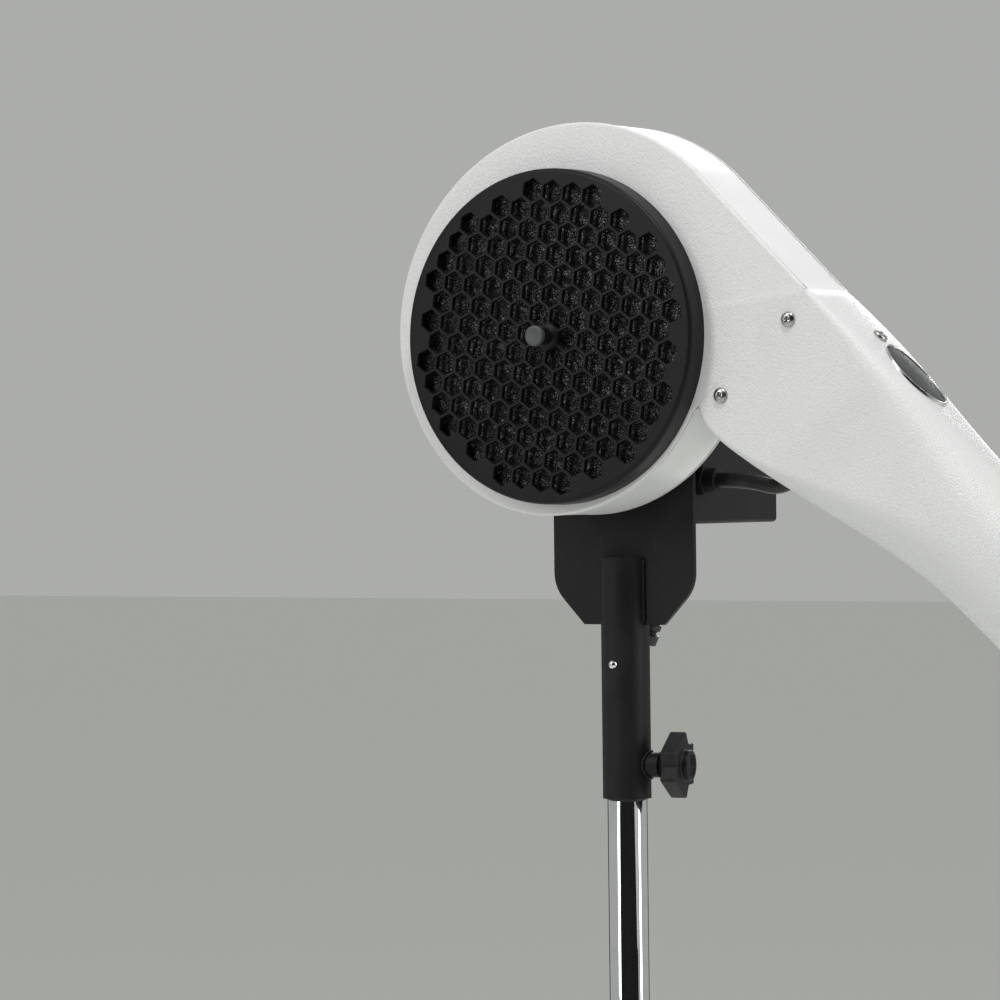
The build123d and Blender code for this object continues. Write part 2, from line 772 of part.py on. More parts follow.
stand = {
    "pole": pole(),
    "column": column(),
    "column_knob": star_knob(column_radius + 10.0, column_knob_height, pole_radius + 0.2),
    "base_hub": base_hub(),
}
for number in range(leg_count):
    turn = 36.0 + number * 360.0 / leg_count
    stand[f"leg_{number + 1}"] = leg(turn)
    stand[f"caster_fork_{number + 1}"] = caster_place(turn) * caster_fork()
    stand[f"caster_wheel_{number + 1}"] = caster_place(turn) * caster_wheel()

os.makedirs("parts", exist_ok=True)
for name, shape in head.items():
    export_step(Pos(0, 0, fan_height) * shape, f"parts/{name}.step")
for name, shape in stand.items():
    export_step(shape, f"parts/{name}.step")
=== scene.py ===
import bpy
import bmesh
import math
import numpy as np
from mathutils import Matrix, Vector


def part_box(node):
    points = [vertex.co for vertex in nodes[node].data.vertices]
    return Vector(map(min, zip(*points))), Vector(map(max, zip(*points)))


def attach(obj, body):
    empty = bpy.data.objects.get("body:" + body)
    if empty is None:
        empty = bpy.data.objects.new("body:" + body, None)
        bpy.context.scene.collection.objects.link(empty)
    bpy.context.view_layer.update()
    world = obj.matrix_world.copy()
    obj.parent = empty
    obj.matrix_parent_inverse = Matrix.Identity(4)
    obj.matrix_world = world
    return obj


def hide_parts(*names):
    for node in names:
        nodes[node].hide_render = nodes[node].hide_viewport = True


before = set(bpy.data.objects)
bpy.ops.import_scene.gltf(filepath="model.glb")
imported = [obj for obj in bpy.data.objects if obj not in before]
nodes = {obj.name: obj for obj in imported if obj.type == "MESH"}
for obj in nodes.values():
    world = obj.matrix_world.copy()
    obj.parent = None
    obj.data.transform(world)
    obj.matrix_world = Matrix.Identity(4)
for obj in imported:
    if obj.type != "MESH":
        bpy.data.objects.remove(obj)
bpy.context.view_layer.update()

# ---- Camera and studio --------------------------------------------------------------------------
# A long lens looks at the intake side, a little to the right of it and just below the fan's axis.
# The floor is plain and pale. Soft boxes stand left, right and above.
shaft_low, shaft_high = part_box("motor_shaft")
fan_axis = Vector((0.0, 0.0, (shaft_low[2] + shaft_high[2]) / 2))
camera_turn = math.radians(33.65)
camera_lift = math.radians(0.24)
camera_roll = math.radians(-0.69)
back = Vector((
    math.sin(camera_turn) * math.cos(camera_lift), -math.cos(camera_turn) * math.cos(camera_lift),
    math.sin(camera_lift)))
side = Vector((math.cos(camera_turn), math.sin(camera_turn), 0.0))
above = back.cross(side)
rolled_side = side * math.cos(camera_roll) + above * math.sin(camera_roll)
rolled_above = above * math.cos(camera_roll) - side * math.sin(camera_roll)
lens_distance = 2.5496
lens_aside = -0.0768
lens_drop = 0.0986
camera_data = bpy.data.cameras.new("camera")
camera_data.lens = 147.96
camera_data.sensor_width = 36.0
camera_data.clip_end = 60.0
camera = bpy.data.objects.new("camera", camera_data)
camera.matrix_world = Matrix.Translation(
    fan_axis + lens_distance * back + lens_aside * side - lens_drop * above
) @ Matrix((rolled_side, rolled_above, back)).transposed().to_4x4()
bpy.context.scene.collection.objects.link(camera)
bpy.context.scene.camera = camera


def plain_material(name, colour, roughness):
    """Even material for the studio."""
    material = bpy.data.materials.new(name)
    material.use_nodes = True
    shader = material.node_tree.nodes["Principled BSDF"]
    shader.inputs["Base Color"].default_value = (*colour, 1.0)
    shader.inputs["Roughness"].default_value = roughness
    return material


def studio_plane(name, corners, material):
    """Flat studio surface through four corners."""
    mesh = bpy.data.meshes.new(name)
    mesh.from_pydata(corners, [], [(0, 1, 2, 3)])
    mesh.materials.append(material)
    plane = bpy.data.objects.new(name, mesh)
    bpy.context.scene.collection.objects.link(plane)
    return plane


floor_half = 30.0
floor_corners = [
    (-floor_half, -floor_half, 0), (floor_half, -floor_half, 0), (floor_half, floor_half, 0),
    (-floor_half, floor_half, 0)]
studio_plane("studio_floor", floor_corners, plain_material("pale_floor", (0.86, 0.87, 0.84), 0.95))

# A dark card behind the lens, seen only in reflections, draws the dark stripe on chrome.
card_distance = 3.6
card_centre = fan_axis + back * card_distance
card_left = card_centre - side * 5.4
card_right = card_centre + side * 4.6
low_step = Vector((0, 0, -1.15))
high_step = Vector((0, 0, 2.6))
card_corners = [
    card_left + low_step, card_right + low_step, card_right + high_step, card_left + high_step]
card_black = plain_material("card_black", (0.01, 0.01, 0.01), 1.0)
card = studio_plane("dark_card", card_corners, card_black)
reflected_only = [card]

# Two narrow cards behind the object draw the thin dark lines near the edges of the chrome.
for name, turn in (("edge_card_left", -1), ("edge_card_right", 1)):
    middle = fan_axis - back * 3.2 + side * (turn * 1.75)
    reach = (back * 0.45 + side * (turn * 0.8)).normalized() * 0.55
    edge_card = studio_plane(name, [
        middle - reach + low_step, middle + reach + low_step, middle + reach + high_step,
        middle - reach + high_step], card_black)
    reflected_only.append(edge_card)
for plane in reflected_only:
    plane.visible_camera = False
    plane.visible_diffuse = False
    plane.visible_shadow = False


def soft_box(name, place, target, width, height, power):
    """Rectangular area light aimed at a target."""
    light_data = bpy.data.lights.new(name, "AREA")
    light_data.shape = "RECTANGLE"
    light_data.size = width
    light_data.size_y = height
    light_data.energy = power
    light = bpy.data.objects.new(name, light_data)
    light.location = place
    light.rotation_euler = (Vector(place) - Vector(target)).to_track_quat("Z", "Y").to_euler()
    light.visible_camera = False
    bpy.context.scene.collection.objects.link(light)


head_middle = fan_axis + Vector((0.05, 0.0, -0.05))
lift = Vector((0, 0, 1))
key_place = fan_axis - side * 2.3 + back * 1.5 + lift * 1.3
fill_place = fan_axis + side * 2.4 + back * 0.8 + lift * 0.6
rear_place = fan_axis - back * 2.4 + side * 0.6 + lift * 0.9
soft_box("key_left", key_place, head_middle, 0.7, 2.6, 25)
soft_box("fill_right", fill_place, head_middle, 0.5, 2.6, 17)
soft_box("top", fan_axis + Vector((0.1, 0.1, 2.1)), head_middle, 2.2, 2.2, 5)
soft_box("sparkle", fan_axis + Vector((0.64, -0.84, 1.8)), head_middle, 0.35, 0.35, 15)
soft_box("rear", rear_place, head_middle, 1.2, 1.8, 24)
world = bpy.data.worlds.new("studio")
world.use_nodes = True
world.node_tree.nodes["Background"].inputs["Color"].default_value = (0.79, 0.805, 0.785, 1.0)
world.node_tree.nodes["Background"].inputs["Strength"].default_value = 0.52
bpy.context.scene.world = world
bpy.context.scene.view_settings.view_transform = "Standard"


# ---- Scroll housing -----------------------------------------------------------------------------
# The snail is two flat moulded cheeks with a curved band between them, in white plastic with a
# coarse pebble grain. A fine seam runs round the rim and ends where the nozzle begins; its groove
# is painted dark grey as shade.
MM = 0.001


def group_socket(group, name, direction, kind, value=None):
    """Named socket on a node group."""
    socket = group.interface.new_socket(name=name, in_out=direction, socket_type=kind)
    if value is not None:
        socket.default_value = value


def relief_group():
    """Pebbled relief: puts out a bumped normal and a mask of the grain's high spots."""
    group = bpy.data.node_groups.new("surface_relief", "ShaderNodeTree")
    group_socket(group, "Grain per Metre", "INPUT", "NodeSocketFloat", 400.0)
    group_socket(group, "Stretch", "INPUT", "NodeSocketVector", (1.0, 1.0, 1.0))
    group_socket(group, "Depth", "INPUT", "NodeSocketFloat", 0.0003)
    group_socket(group, "Strength", "INPUT", "NodeSocketFloat", 0.5)
    group_socket(group, "Normal", "OUTPUT", "NodeSocketVector")
    group_socket(group, "High Spots", "OUTPUT", "NodeSocketFloat")
    tree = group.nodes
    link = group.links.new
    entry = tree.new("NodeGroupInput")
    leave = tree.new("NodeGroupOutput")
    place = tree.new("ShaderNodeTexCoord")
    stretch = tree.new("ShaderNodeVectorMath")
    stretch.operation = "MULTIPLY"
    link(place.outputs["Object"], stretch.inputs[0])
    link(entry.outputs["Stretch"], stretch.inputs[1])
    pebbles = tree.new("ShaderNodeTexVoronoi")
    pebbles.feature = "SMOOTH_F1"
    pebbles.inputs["Smoothness"].default_value = 0.6
    link(stretch.outputs[0], pebbles.inputs["Vector"])
    link(entry.outputs["Grain per Metre"], pebbles.inputs["Scale"])
    finer = tree.new("ShaderNodeMath")
    finer.operation = "MULTIPLY"
    finer.inputs[1].default_value = 1.7
    link(entry.outputs["Grain per Metre"], finer.inputs[0])
    noise = tree.new("ShaderNodeTexNoise")
    noise.inputs["Detail"].default_value = 3.0
    link(stretch.outputs[0], noise.inputs["Vector"])
    link(finer.outputs[0], noise.inputs["Scale"])
    height = tree.new("ShaderNodeMath")
    height.operation = "SUBTRACT"
    link(noise.outputs["Fac"], height.inputs[0])
    link(pebbles.outputs["Distance"], height.inputs[1])
    bump = tree.new("ShaderNodeBump")
    link(height.outputs[0], bump.inputs["Height"])
    link(entry.outputs["Depth"], bump.inputs["Distance"])
    link(entry.outputs["Strength"], bump.inputs["Strength"])
    link(bump.outputs["Normal"], leave.inputs["Normal"])
    peaks = tree.new("ShaderNodeMapRange")
    peaks.inputs["From Min"].default_value = 0.15
    peaks.inputs["From Max"].default_value = 0.45
    link(height.outputs[0], peaks.inputs["Value"])
    link(peaks.outputs["Result"], leave.inputs["High Spots"])
    return group


def handling_group():
    """Smudges and dust: puts out a roughness and a mask of dusty patches."""
    group = bpy.data.node_groups.new("handling", "ShaderNodeTree")
    group_socket(group, "Clean Roughness", "INPUT", "NodeSocketFloat", 0.2)
    group_socket(group, "Smudged Roughness", "INPUT", "NodeSocketFloat", 0.35)
    group_socket(group, "Patch per Metre", "INPUT", "NodeSocketFloat", 18.0)
    group_socket(group, "Roughness", "OUTPUT", "NodeSocketFloat")
    group_socket(group, "Dust", "OUTPUT", "NodeSocketFloat")
    tree = group.nodes
    link = group.links.new
    entry = tree.new("NodeGroupInput")
    leave = tree.new("NodeGroupOutput")
    place = tree.new("ShaderNodeTexCoord")
    noise = tree.new("ShaderNodeTexNoise")
    noise.inputs["Detail"].default_value = 5.0
    noise.inputs["Distortion"].default_value = 0.8
    link(place.outputs["Object"], noise.inputs["Vector"])
    link(entry.outputs["Patch per Metre"], noise.inputs["Scale"])
    spread = tree.new("ShaderNodeMapRange")
    spread.inputs["From Min"].default_value = 0.38
    spread.inputs["From Max"].default_value = 0.66
    link(noise.outputs["Fac"], spread.inputs["Value"])
    link(entry.outputs["Clean Roughness"], spread.inputs["To Min"])
    link(entry.outputs["Smudged Roughness"], spread.inputs["To Max"])
    link(spread.outputs["Result"], leave.inputs["Roughness"])
    dust = tree.new("ShaderNodeMapRange")
    dust.inputs["From Min"].default_value = 0.5
    dust.inputs["From Max"].default_value = 0.75
    link(noise.outputs["Fac"], dust.inputs["Value"])
    link(dust.outputs["Result"], leave.inputs["Dust"])
    return group


relief = relief_group()
handling = handling_group()


def finish(name, colour, dusty, clean, smudged, grain=0.0, depth=0.0, strength=0.4, metallic=0.0,
           patch=18.0, coat=0.0, stretch=(1.0, 1.0, 1.0), shine=0.5, polish=0.0):
    """Moulded, painted or plated: dust tints it, handling dulls it, grain gives it relief."""
    material = bpy.data.materials.new(name)
    material.use_nodes = True
    tree = material.node_tree.nodes
    link = material.node_tree.links.new
    shader = tree["Principled BSDF"]
    shader.inputs["Metallic"].default_value = metallic
    shader.inputs["Specular IOR Level"].default_value = shine
    shader.inputs["Coat Weight"].default_value = coat
    shader.inputs["Coat Roughness"].default_value = 0.12
    worn = tree.new("ShaderNodeGroup")
    worn.node_tree = handling
    worn.inputs["Clean Roughness"].default_value = clean
    worn.inputs["Smudged Roughness"].default_value = smudged
    worn.inputs["Patch per Metre"].default_value = patch
    link(worn.outputs["Roughness"], shader.inputs["Roughness"])
    tint = tree.new("ShaderNodeMix")
    tint.data_type = "RGBA"
    tint.inputs["A"].default_value = (*colour, 1.0)
    tint.inputs["B"].default_value = (*dusty, 1.0)
    link(worn.outputs["Dust"], tint.inputs["Factor"])
    link(tint.outputs["Result"], shader.inputs["Base Color"])
    if grain:
        texture = tree.new("ShaderNodeGroup")
        texture.node_tree = relief
        texture.inputs["Grain per Metre"].default_value = grain
        texture.inputs["Stretch"].default_value = stretch
        texture.inputs["Depth"].default_value = depth
        texture.inputs["Strength"].default_value = strength
        link(texture.outputs["Normal"], shader.inputs["Normal"])
        if polish:
            rubbed = tree.new("ShaderNodeMath")
            rubbed.operation = "MULTIPLY_ADD"
            rubbed.inputs[1].default_value = -polish
            link(texture.outputs["High Spots"], rubbed.inputs[0])
            link(worn.outputs["Roughness"], rubbed.inputs[2])
            link(rubbed.outputs[0], shader.inputs["Roughness"])
    return material


def place_piece(name, mesh, material, body, slot, *replaced):
    """Link a finished mesh as a piece that rides on a body and stands for CAD nodes."""
    piece = bpy.data.objects.new(name, mesh)
    if not mesh.materials:
        mesh.materials.append(material)
    bpy.context.scene.collection.objects.link(piece)
    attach(piece, body)
    if replaced:
        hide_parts(*replaced)
    return piece


def smooth_by_angle(mesh, degrees=32.0):
    """Smooth shading with sharp edges where faces meet at more than the angle."""
    work = bmesh.new()
    work.from_mesh(mesh)
    for face in work.faces:
        face.smooth = True
    for edge in work.edges:
        if len(edge.link_faces) == 2:
            edge.smooth = edge.calc_face_angle(0.0) < math.radians(degrees)
    work.to_mesh(mesh)
    work.free()


def ring_mesh(name, loops, closed=True):
    """Skin over loops of equal length, joined end to end when closed and capped when open."""
    count = len(loops[0])
    vertices = [tuple(point) for loop in loops for point in loop]
    faces = []
    spans = len(loops) if closed else len(loops) - 1
    for row in range(spans):
        here = row * count
        after = ((row + 1) % len(loops)) * count
        for step in range(count):
            following = (step + 1) % count
            faces.append((here + step, here + following, after + following, after + step))
    if not closed:
        faces.append(tuple(range(count))[::-1])
        faces.append(tuple((len(loops) - 1) * count + step for step in range(count)))
    mesh = bpy.data.meshes.new(name)
    mesh.from_pydata(vertices, [], faces)
    work = bmesh.new()
    work.from_mesh(mesh)
    bmesh.ops.remove_doubles(work, verts=work.verts, dist=1e-6)
    bmesh.ops.recalc_face_normals(work, faces=work.faces)
    work.to_mesh(mesh)
    work.free()
    return mesh


intake_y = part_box("cheek_intake")[0][1]
motor_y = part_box("cheek_motor")[1][1]
middle_y = (intake_y + motor_y) / 2
flow_slope = math.radians(44.6)
flow = Vector((math.cos(flow_slope), 0.0, -math.sin(flow_slope)))
rise = Vector((math.sin(flow_slope), 0.0, math.cos(flow_slope)))
volute_radius = 103.5 * MM
cutoff = math.radians(17.5)
mouth = volute_radius * math.cos(cutoff)
throat = volute_radius * 1.315
overlap = 6.0 * MM
wall = 3.0 * MM
inlet_radius = 62.0 * MM
seam_top = 2.2 * MM
seam_bottom = 3.44 * MM
cutoff_rise = volute_radius * math.sin(cutoff)
scroll_turn = math.radians(287.5)
sweep_stations = [0, 40, 80, 120, 160, 200, 240, 265, 287.5]
radius_stations = [1.0, 1.014, 1.070, 1.121, 1.155, 1.182, 1.239, 1.285, 1.315]


def smooth_through(places, values):
    """Natural cubic through the stations, as a function of place."""
    x = np.array(places, float)
    y = np.array(values, float)
    gap = np.diff(x)
    size = len(x)
    system = np.eye(size)
    right = np.zeros(size)
    for k in range(1, size - 1):
        system[k, k - 1:k + 2] = (gap[k - 1], 2 * (gap[k - 1] + gap[k]), gap[k])
        right[k] = 6 * ((y[k + 1] - y[k]) / gap[k] - (y[k] - y[k - 1]) / gap[k - 1])
    curve = np.linalg.solve(system, right)

    def value(place):
        k = int(np.clip(np.searchsorted(x, place) - 1, 0, size - 2))
        before = place - x[k]
        after = x[k + 1] - place
        bend = curve[k] * after ** 3 + curve[k + 1] * before ** 3
        straight = (y[k] / gap[k] - curve[k] * gap[k] / 6) * after
        straight += (y[k + 1] / gap[k] - curve[k + 1] * gap[k] / 6) * before
        return bend / (6 * gap[k]) + straight
    return value


volute = smooth_through(sweep_stations, [ratio * volute_radius for ratio in radius_stations])


def rim_angles():
    """Angles from the flow direction round the housing, with whether each is on the open mouth."""
    notch = math.atan2(throat, mouth + overlap)
    spiral = [(cutoff - scroll_turn * k / 260, False) for k in range(260)]
    top = math.pi / 2
    straight = [(top + (notch - top) * k / 24 - 2 * math.pi, False) for k in range(24)]
    across = [(notch + (cutoff - notch) * k / 24 - 2 * math.pi, True) for k in range(24)]
    return spiral + straight + across


def rim_radius(angle):
    """Distance of the housing's outline from the fan's axis."""
    if angle > cutoff - scroll_turn - 1e-9:
        return volute(math.degrees(cutoff - angle))
    turn = angle + 2 * math.pi
    if turn > math.atan2(throat, mouth + overlap):
        return throat / math.sin(turn)
    climb = throat - cutoff_rise
    slant = math.cos(turn) * climb - math.sin(turn) * overlap
    return (mouth * climb - cutoff_rise * overlap) / slant


def head_point(along, across, y):
    """Point given along the flow, across it and in depth, from the fan's axis."""
    point = fan_axis + flow * along + rise * across
    return Vector((point.x, y, point.z))


def rim_loop(inset, y):
    """Loop round the housing, drawn in from the outline except on the mouth."""
    loop = []
    for angle, on_mouth in rim_angles():
        radius = rim_radius(angle) - (0.0 if on_mouth else inset)
        loop.append(head_point(radius * math.cos(angle), radius * math.sin(angle), y))
    return loop


def round_loop(radius, y):
    """Circle about the fan's axis with the same angles as the rim."""
    return [head_point(radius * math.cos(a), radius * math.sin(a), y) for a, _ in rim_angles()]


def housing_mesh():
    """Closed shell: intake cheek, seamed rim, motor cheek and the inner wall."""
    edge = [(1.9, 0.0), (1.25, 0.1), (0.65, 0.42), (0.2, 0.95), (0.0, 1.6), (0.0, 2.2)]
    seam = [(2.8, 2.25), (2.8, 3.4), (0.4, 3.45), (0.25, 4.0), (0.25, 5.4)]
    profile = [(inset * MM, intake_y + depth * MM) for inset, depth in edge + seam]
    profile += [(inset * MM, motor_y - depth * MM) for inset, depth in (edge + seam)[::-1]]
    loops = [round_loop(inlet_radius, intake_y + wall), round_loop(inlet_radius, intake_y)]
    loops += [rim_loop(inset, y) for inset, y in profile]
    disc = volute_radius * 0.955
    loops += [round_loop(disc, motor_y), round_loop(disc, motor_y - wall)]
    loops += [rim_loop(wall, motor_y - wall), rim_loop(wall, intake_y + wall)]
    return ring_mesh("housing", loops)


pebbled_white = finish(
    "pebbled_white", (0.79, 0.79, 0.79), (0.75, 0.75, 0.745), 0.27, 0.34, grain=1000.0,
    depth=0.00050, strength=0.47, patch=9.0, stretch=(1.0, 1.0, 0.7), polish=0.24)
smooth_white = finish(
    "smooth_white", (0.79, 0.79, 0.79), (0.74, 0.74, 0.735), 0.30, 0.42, grain=1000.0, depth=0.0002,
    strength=0.15, patch=7.0)
# Painted shade: the seam groove's faces are dark grey, standing for the shadow deep inside the
# narrow gap.
seam_painted_shade = finish("seam_painted_shade", (0.17, 0.17, 0.165), (0.10, 0.10, 0.10), 0.6, 0.8, patch=300.0)
housing = housing_mesh()
smooth_by_angle(housing, 40.0)
housing_finishes = [pebbled_white, smooth_white, seam_painted_shade]
for material in housing_finishes:
    housing.materials.append(material)
# Faces inside the seam groove take the painted shade; the band's outer faces take the smooth white.
for face in housing.polygons:
    depth = face.center.y - intake_y
    if seam_top < depth < seam_bottom:
        face.material_index = housing_finishes.index(seam_painted_shade)
    elif min(depth, motor_y - face.center.y) > seam_bottom and abs(face.normal.y) < 0.6:
        face.material_index = housing_finishes.index(smooth_white)
place_piece(
    "housing", housing, pebbled_white, "head", "white_shell", "cheek_intake", "cheek_motor",
    "scroll_band")


# ---- Nozzle -------------------------------------------------------------------------------------
# One hollow moulding in the same white plastic. It starts flush with the cheeks, with a low step
# on top, and blends into a long round tube that narrows to the outlet.
top_rise = 34.3
tube_across = throat - top_rise * MM
nozzle_wall = 2.6
nozzle_length = 351
nozzle_places = [0, 10, 22, 40, 70, 117, 181, 266, 351]
nozzle_back = smooth_through(
    [17, 40, 70, 117, 181, 266, 351], [39.5, 39.0, 38.3, 37.8, 37.8, 34.75, 31.7])
nozzle_bottom = smooth_through(
    nozzle_places, [65.3, 69.6, 70.4, 67.8, 61.6, 51.0, 38.6, 34.75, 31.7])
nozzle_half = smooth_through(
    nozzle_places, [26.25, 26.3, 26.7, 27.5, 29.6, 33.2, 37.6, 34.75, 31.7])
nozzle_corner = smooth_through(
    [0, 15, 40, 70, 117, 165, 181], [2.0, 2.6, 4.6, 10.5, 25.0, 36.0, 37.6])
step_start = 6.3
step_end = 17.0
step_height = 5.2
arc_steps = 22
flat_steps = 8


def nozzle_top(place):
    """Height of the top: level with the housing, a quick step up, then the long slope."""
    if place < step_end:
        climbed = max(place - step_start, 0.0) / (step_end - step_start)
        return top_rise + step_height * math.sin(math.pi / 2 * climbed) ** 1.4
    return nozzle_back(place)


def nozzle_loop(along, inset):
    """Rounded rectangle with a crowned top, the same count of points at every place."""
    place = along / MM
    crown = (nozzle_top(place) - top_rise) * min(1.0, max(0.0, 1.0 - (place - step_end) / 95.0))
    top = nozzle_top(place) - crown - inset
    bottom = nozzle_bottom(place) - inset
    half = nozzle_half(place) - inset
    corner = nozzle_corner(place) if place < 181 else half + inset
    corner = min(max(corner - inset, 0.8), half, (top + bottom) / 2)
    centres = [(half - corner, top - corner), (corner - half, top - corner),
               (corner - half, corner - bottom), (half - corner, corner - bottom)]
    points = []
    for quarter, (y, across) in enumerate(centres):
        for step in range(arc_steps + 1):
            turn = math.pi / 2 * (quarter + step / arc_steps)
            points.append((y + corner * math.cos(turn), across + corner * math.sin(turn)))
        y_next, across_next = centres[(quarter + 1) % 4]
        turn = math.pi / 2 * (quarter + 1)
        end = (y_next + corner * math.cos(turn), across_next + corner * math.sin(turn))
        start = points[-1]
        for step in range(1, flat_steps):
            mix = step / flat_steps
            points.append(tuple(a + (b - a) * mix for a, b in zip(start, end)))
    lean = overlap * max(0.0, 1.0 - place / step_start) / (top + bottom)
    loop = []
    for y, a in points:
        share = min(1.0, max(0.0, a / top)) ** 3 * (1 - (y / half) ** 2)
        lifted = a + crown * share
        loop.append(head_point(
            mouth + along + lean * (a + bottom), tube_across + lifted * MM, middle_y + y * MM))
    return loop


nozzle_steps = [0, 6.2, 6.4, 7, 8, 9, 10, 11, 12.5, 14, 16, 18, 21, 24, 28, 32]
nozzle_steps += list(range(38, nozzle_length + 1, 6)) + [nozzle_length]
outer = [nozzle_loop(step * MM, 0.0) for step in nozzle_steps]
inner = [nozzle_loop(step * MM, nozzle_wall) for step in nozzle_steps[::-1]]
nozzle = ring_mesh("nozzle", outer + inner)
smooth_by_angle(nozzle, 40.0)
place_piece("nozzle", nozzle, pebbled_white, "head", "white_shell", "nozzle_shell")


# ---- Outlet -------------------------------------------------------------------------------------
# A plain spigot ring closes the nozzle's end, with a rolled lip. It is the same white plastic and
# fits on the end of the tube.
toward_motor = Vector((0, 1, 0))


def lathe_loops(profile, base, axis, across, steps=96):
    """Loops of a turned shape: radius and distance along the axis."""
    other = axis.cross(across)
    loops = []
    for radius, along in profile:
        centre = base + axis * along * MM
        turns = [2 * math.pi * k / steps for k in range(steps)]
        loops.append([
            centre + (across * math.cos(t) + other * math.sin(t)) * radius * MM for t in turns])
    return loops


outlet_base = head_point(mouth + nozzle_length * MM, tube_across, middle_y)
outlet_profile = [
    (28.7, 0.0), (31.7, 0.0), (31.6, 0.8), (30.95, 1.3), (30.9, 20.0), (30.95, 21.0), (31.0, 23.6),
    (30.6, 24.7), (29.8, 25.0), (29.0, 24.6), (28.6, 23.6), (28.6, 1.0)]
outlet = ring_mesh("outlet_lip", lathe_loops(outlet_profile, outlet_base, flow, toward_motor))
smooth_by_angle(outlet, 50.0)
place_piece("outlet_lip", outlet, pebbled_white, "head", "white_shell", "outlet_ring")


# ---- Intake grille ------------------------------------------------------------------------------
# Black satin guard: a disc pierced by hexagonal cells that stand whole inside a round field, with
# a deep rounded rim. The cells are laid out and cut by a rule, then raised to their thickness.
grille_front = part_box("intake_grille")[0][1]
field_radius = 98.3 * MM
cell_pitch = 14.3 * MM
cell_rib = 1.5 * MM
cell_turn = math.radians(-8)
disc_thickness = 3.5 * MM


def geometry_piece(name, tree, values, carrier=None):
    """Run a geometry tree with the given inputs and return its result as a plain mesh."""
    start = carrier or bpy.data.meshes.new(name + "_start")
    holder = bpy.data.objects.new(name + "_holder", start)
    bpy.context.scene.collection.objects.link(holder)
    modifier = holder.modifiers.new("rule", "NODES")
    modifier.node_group = tree
    for item in tree.interface.items_tree:
        if item.item_type == "SOCKET" and item.in_out == "INPUT" and item.name in values:
            modifier[item.identifier] = values[item.name]
    bpy.context.view_layer.update()
    graph = bpy.context.evaluated_depsgraph_get()
    mesh = bpy.data.meshes.new_from_object(holder.evaluated_get(graph), depsgraph=graph)
    mesh.name = name
    bpy.data.objects.remove(holder)
    return mesh


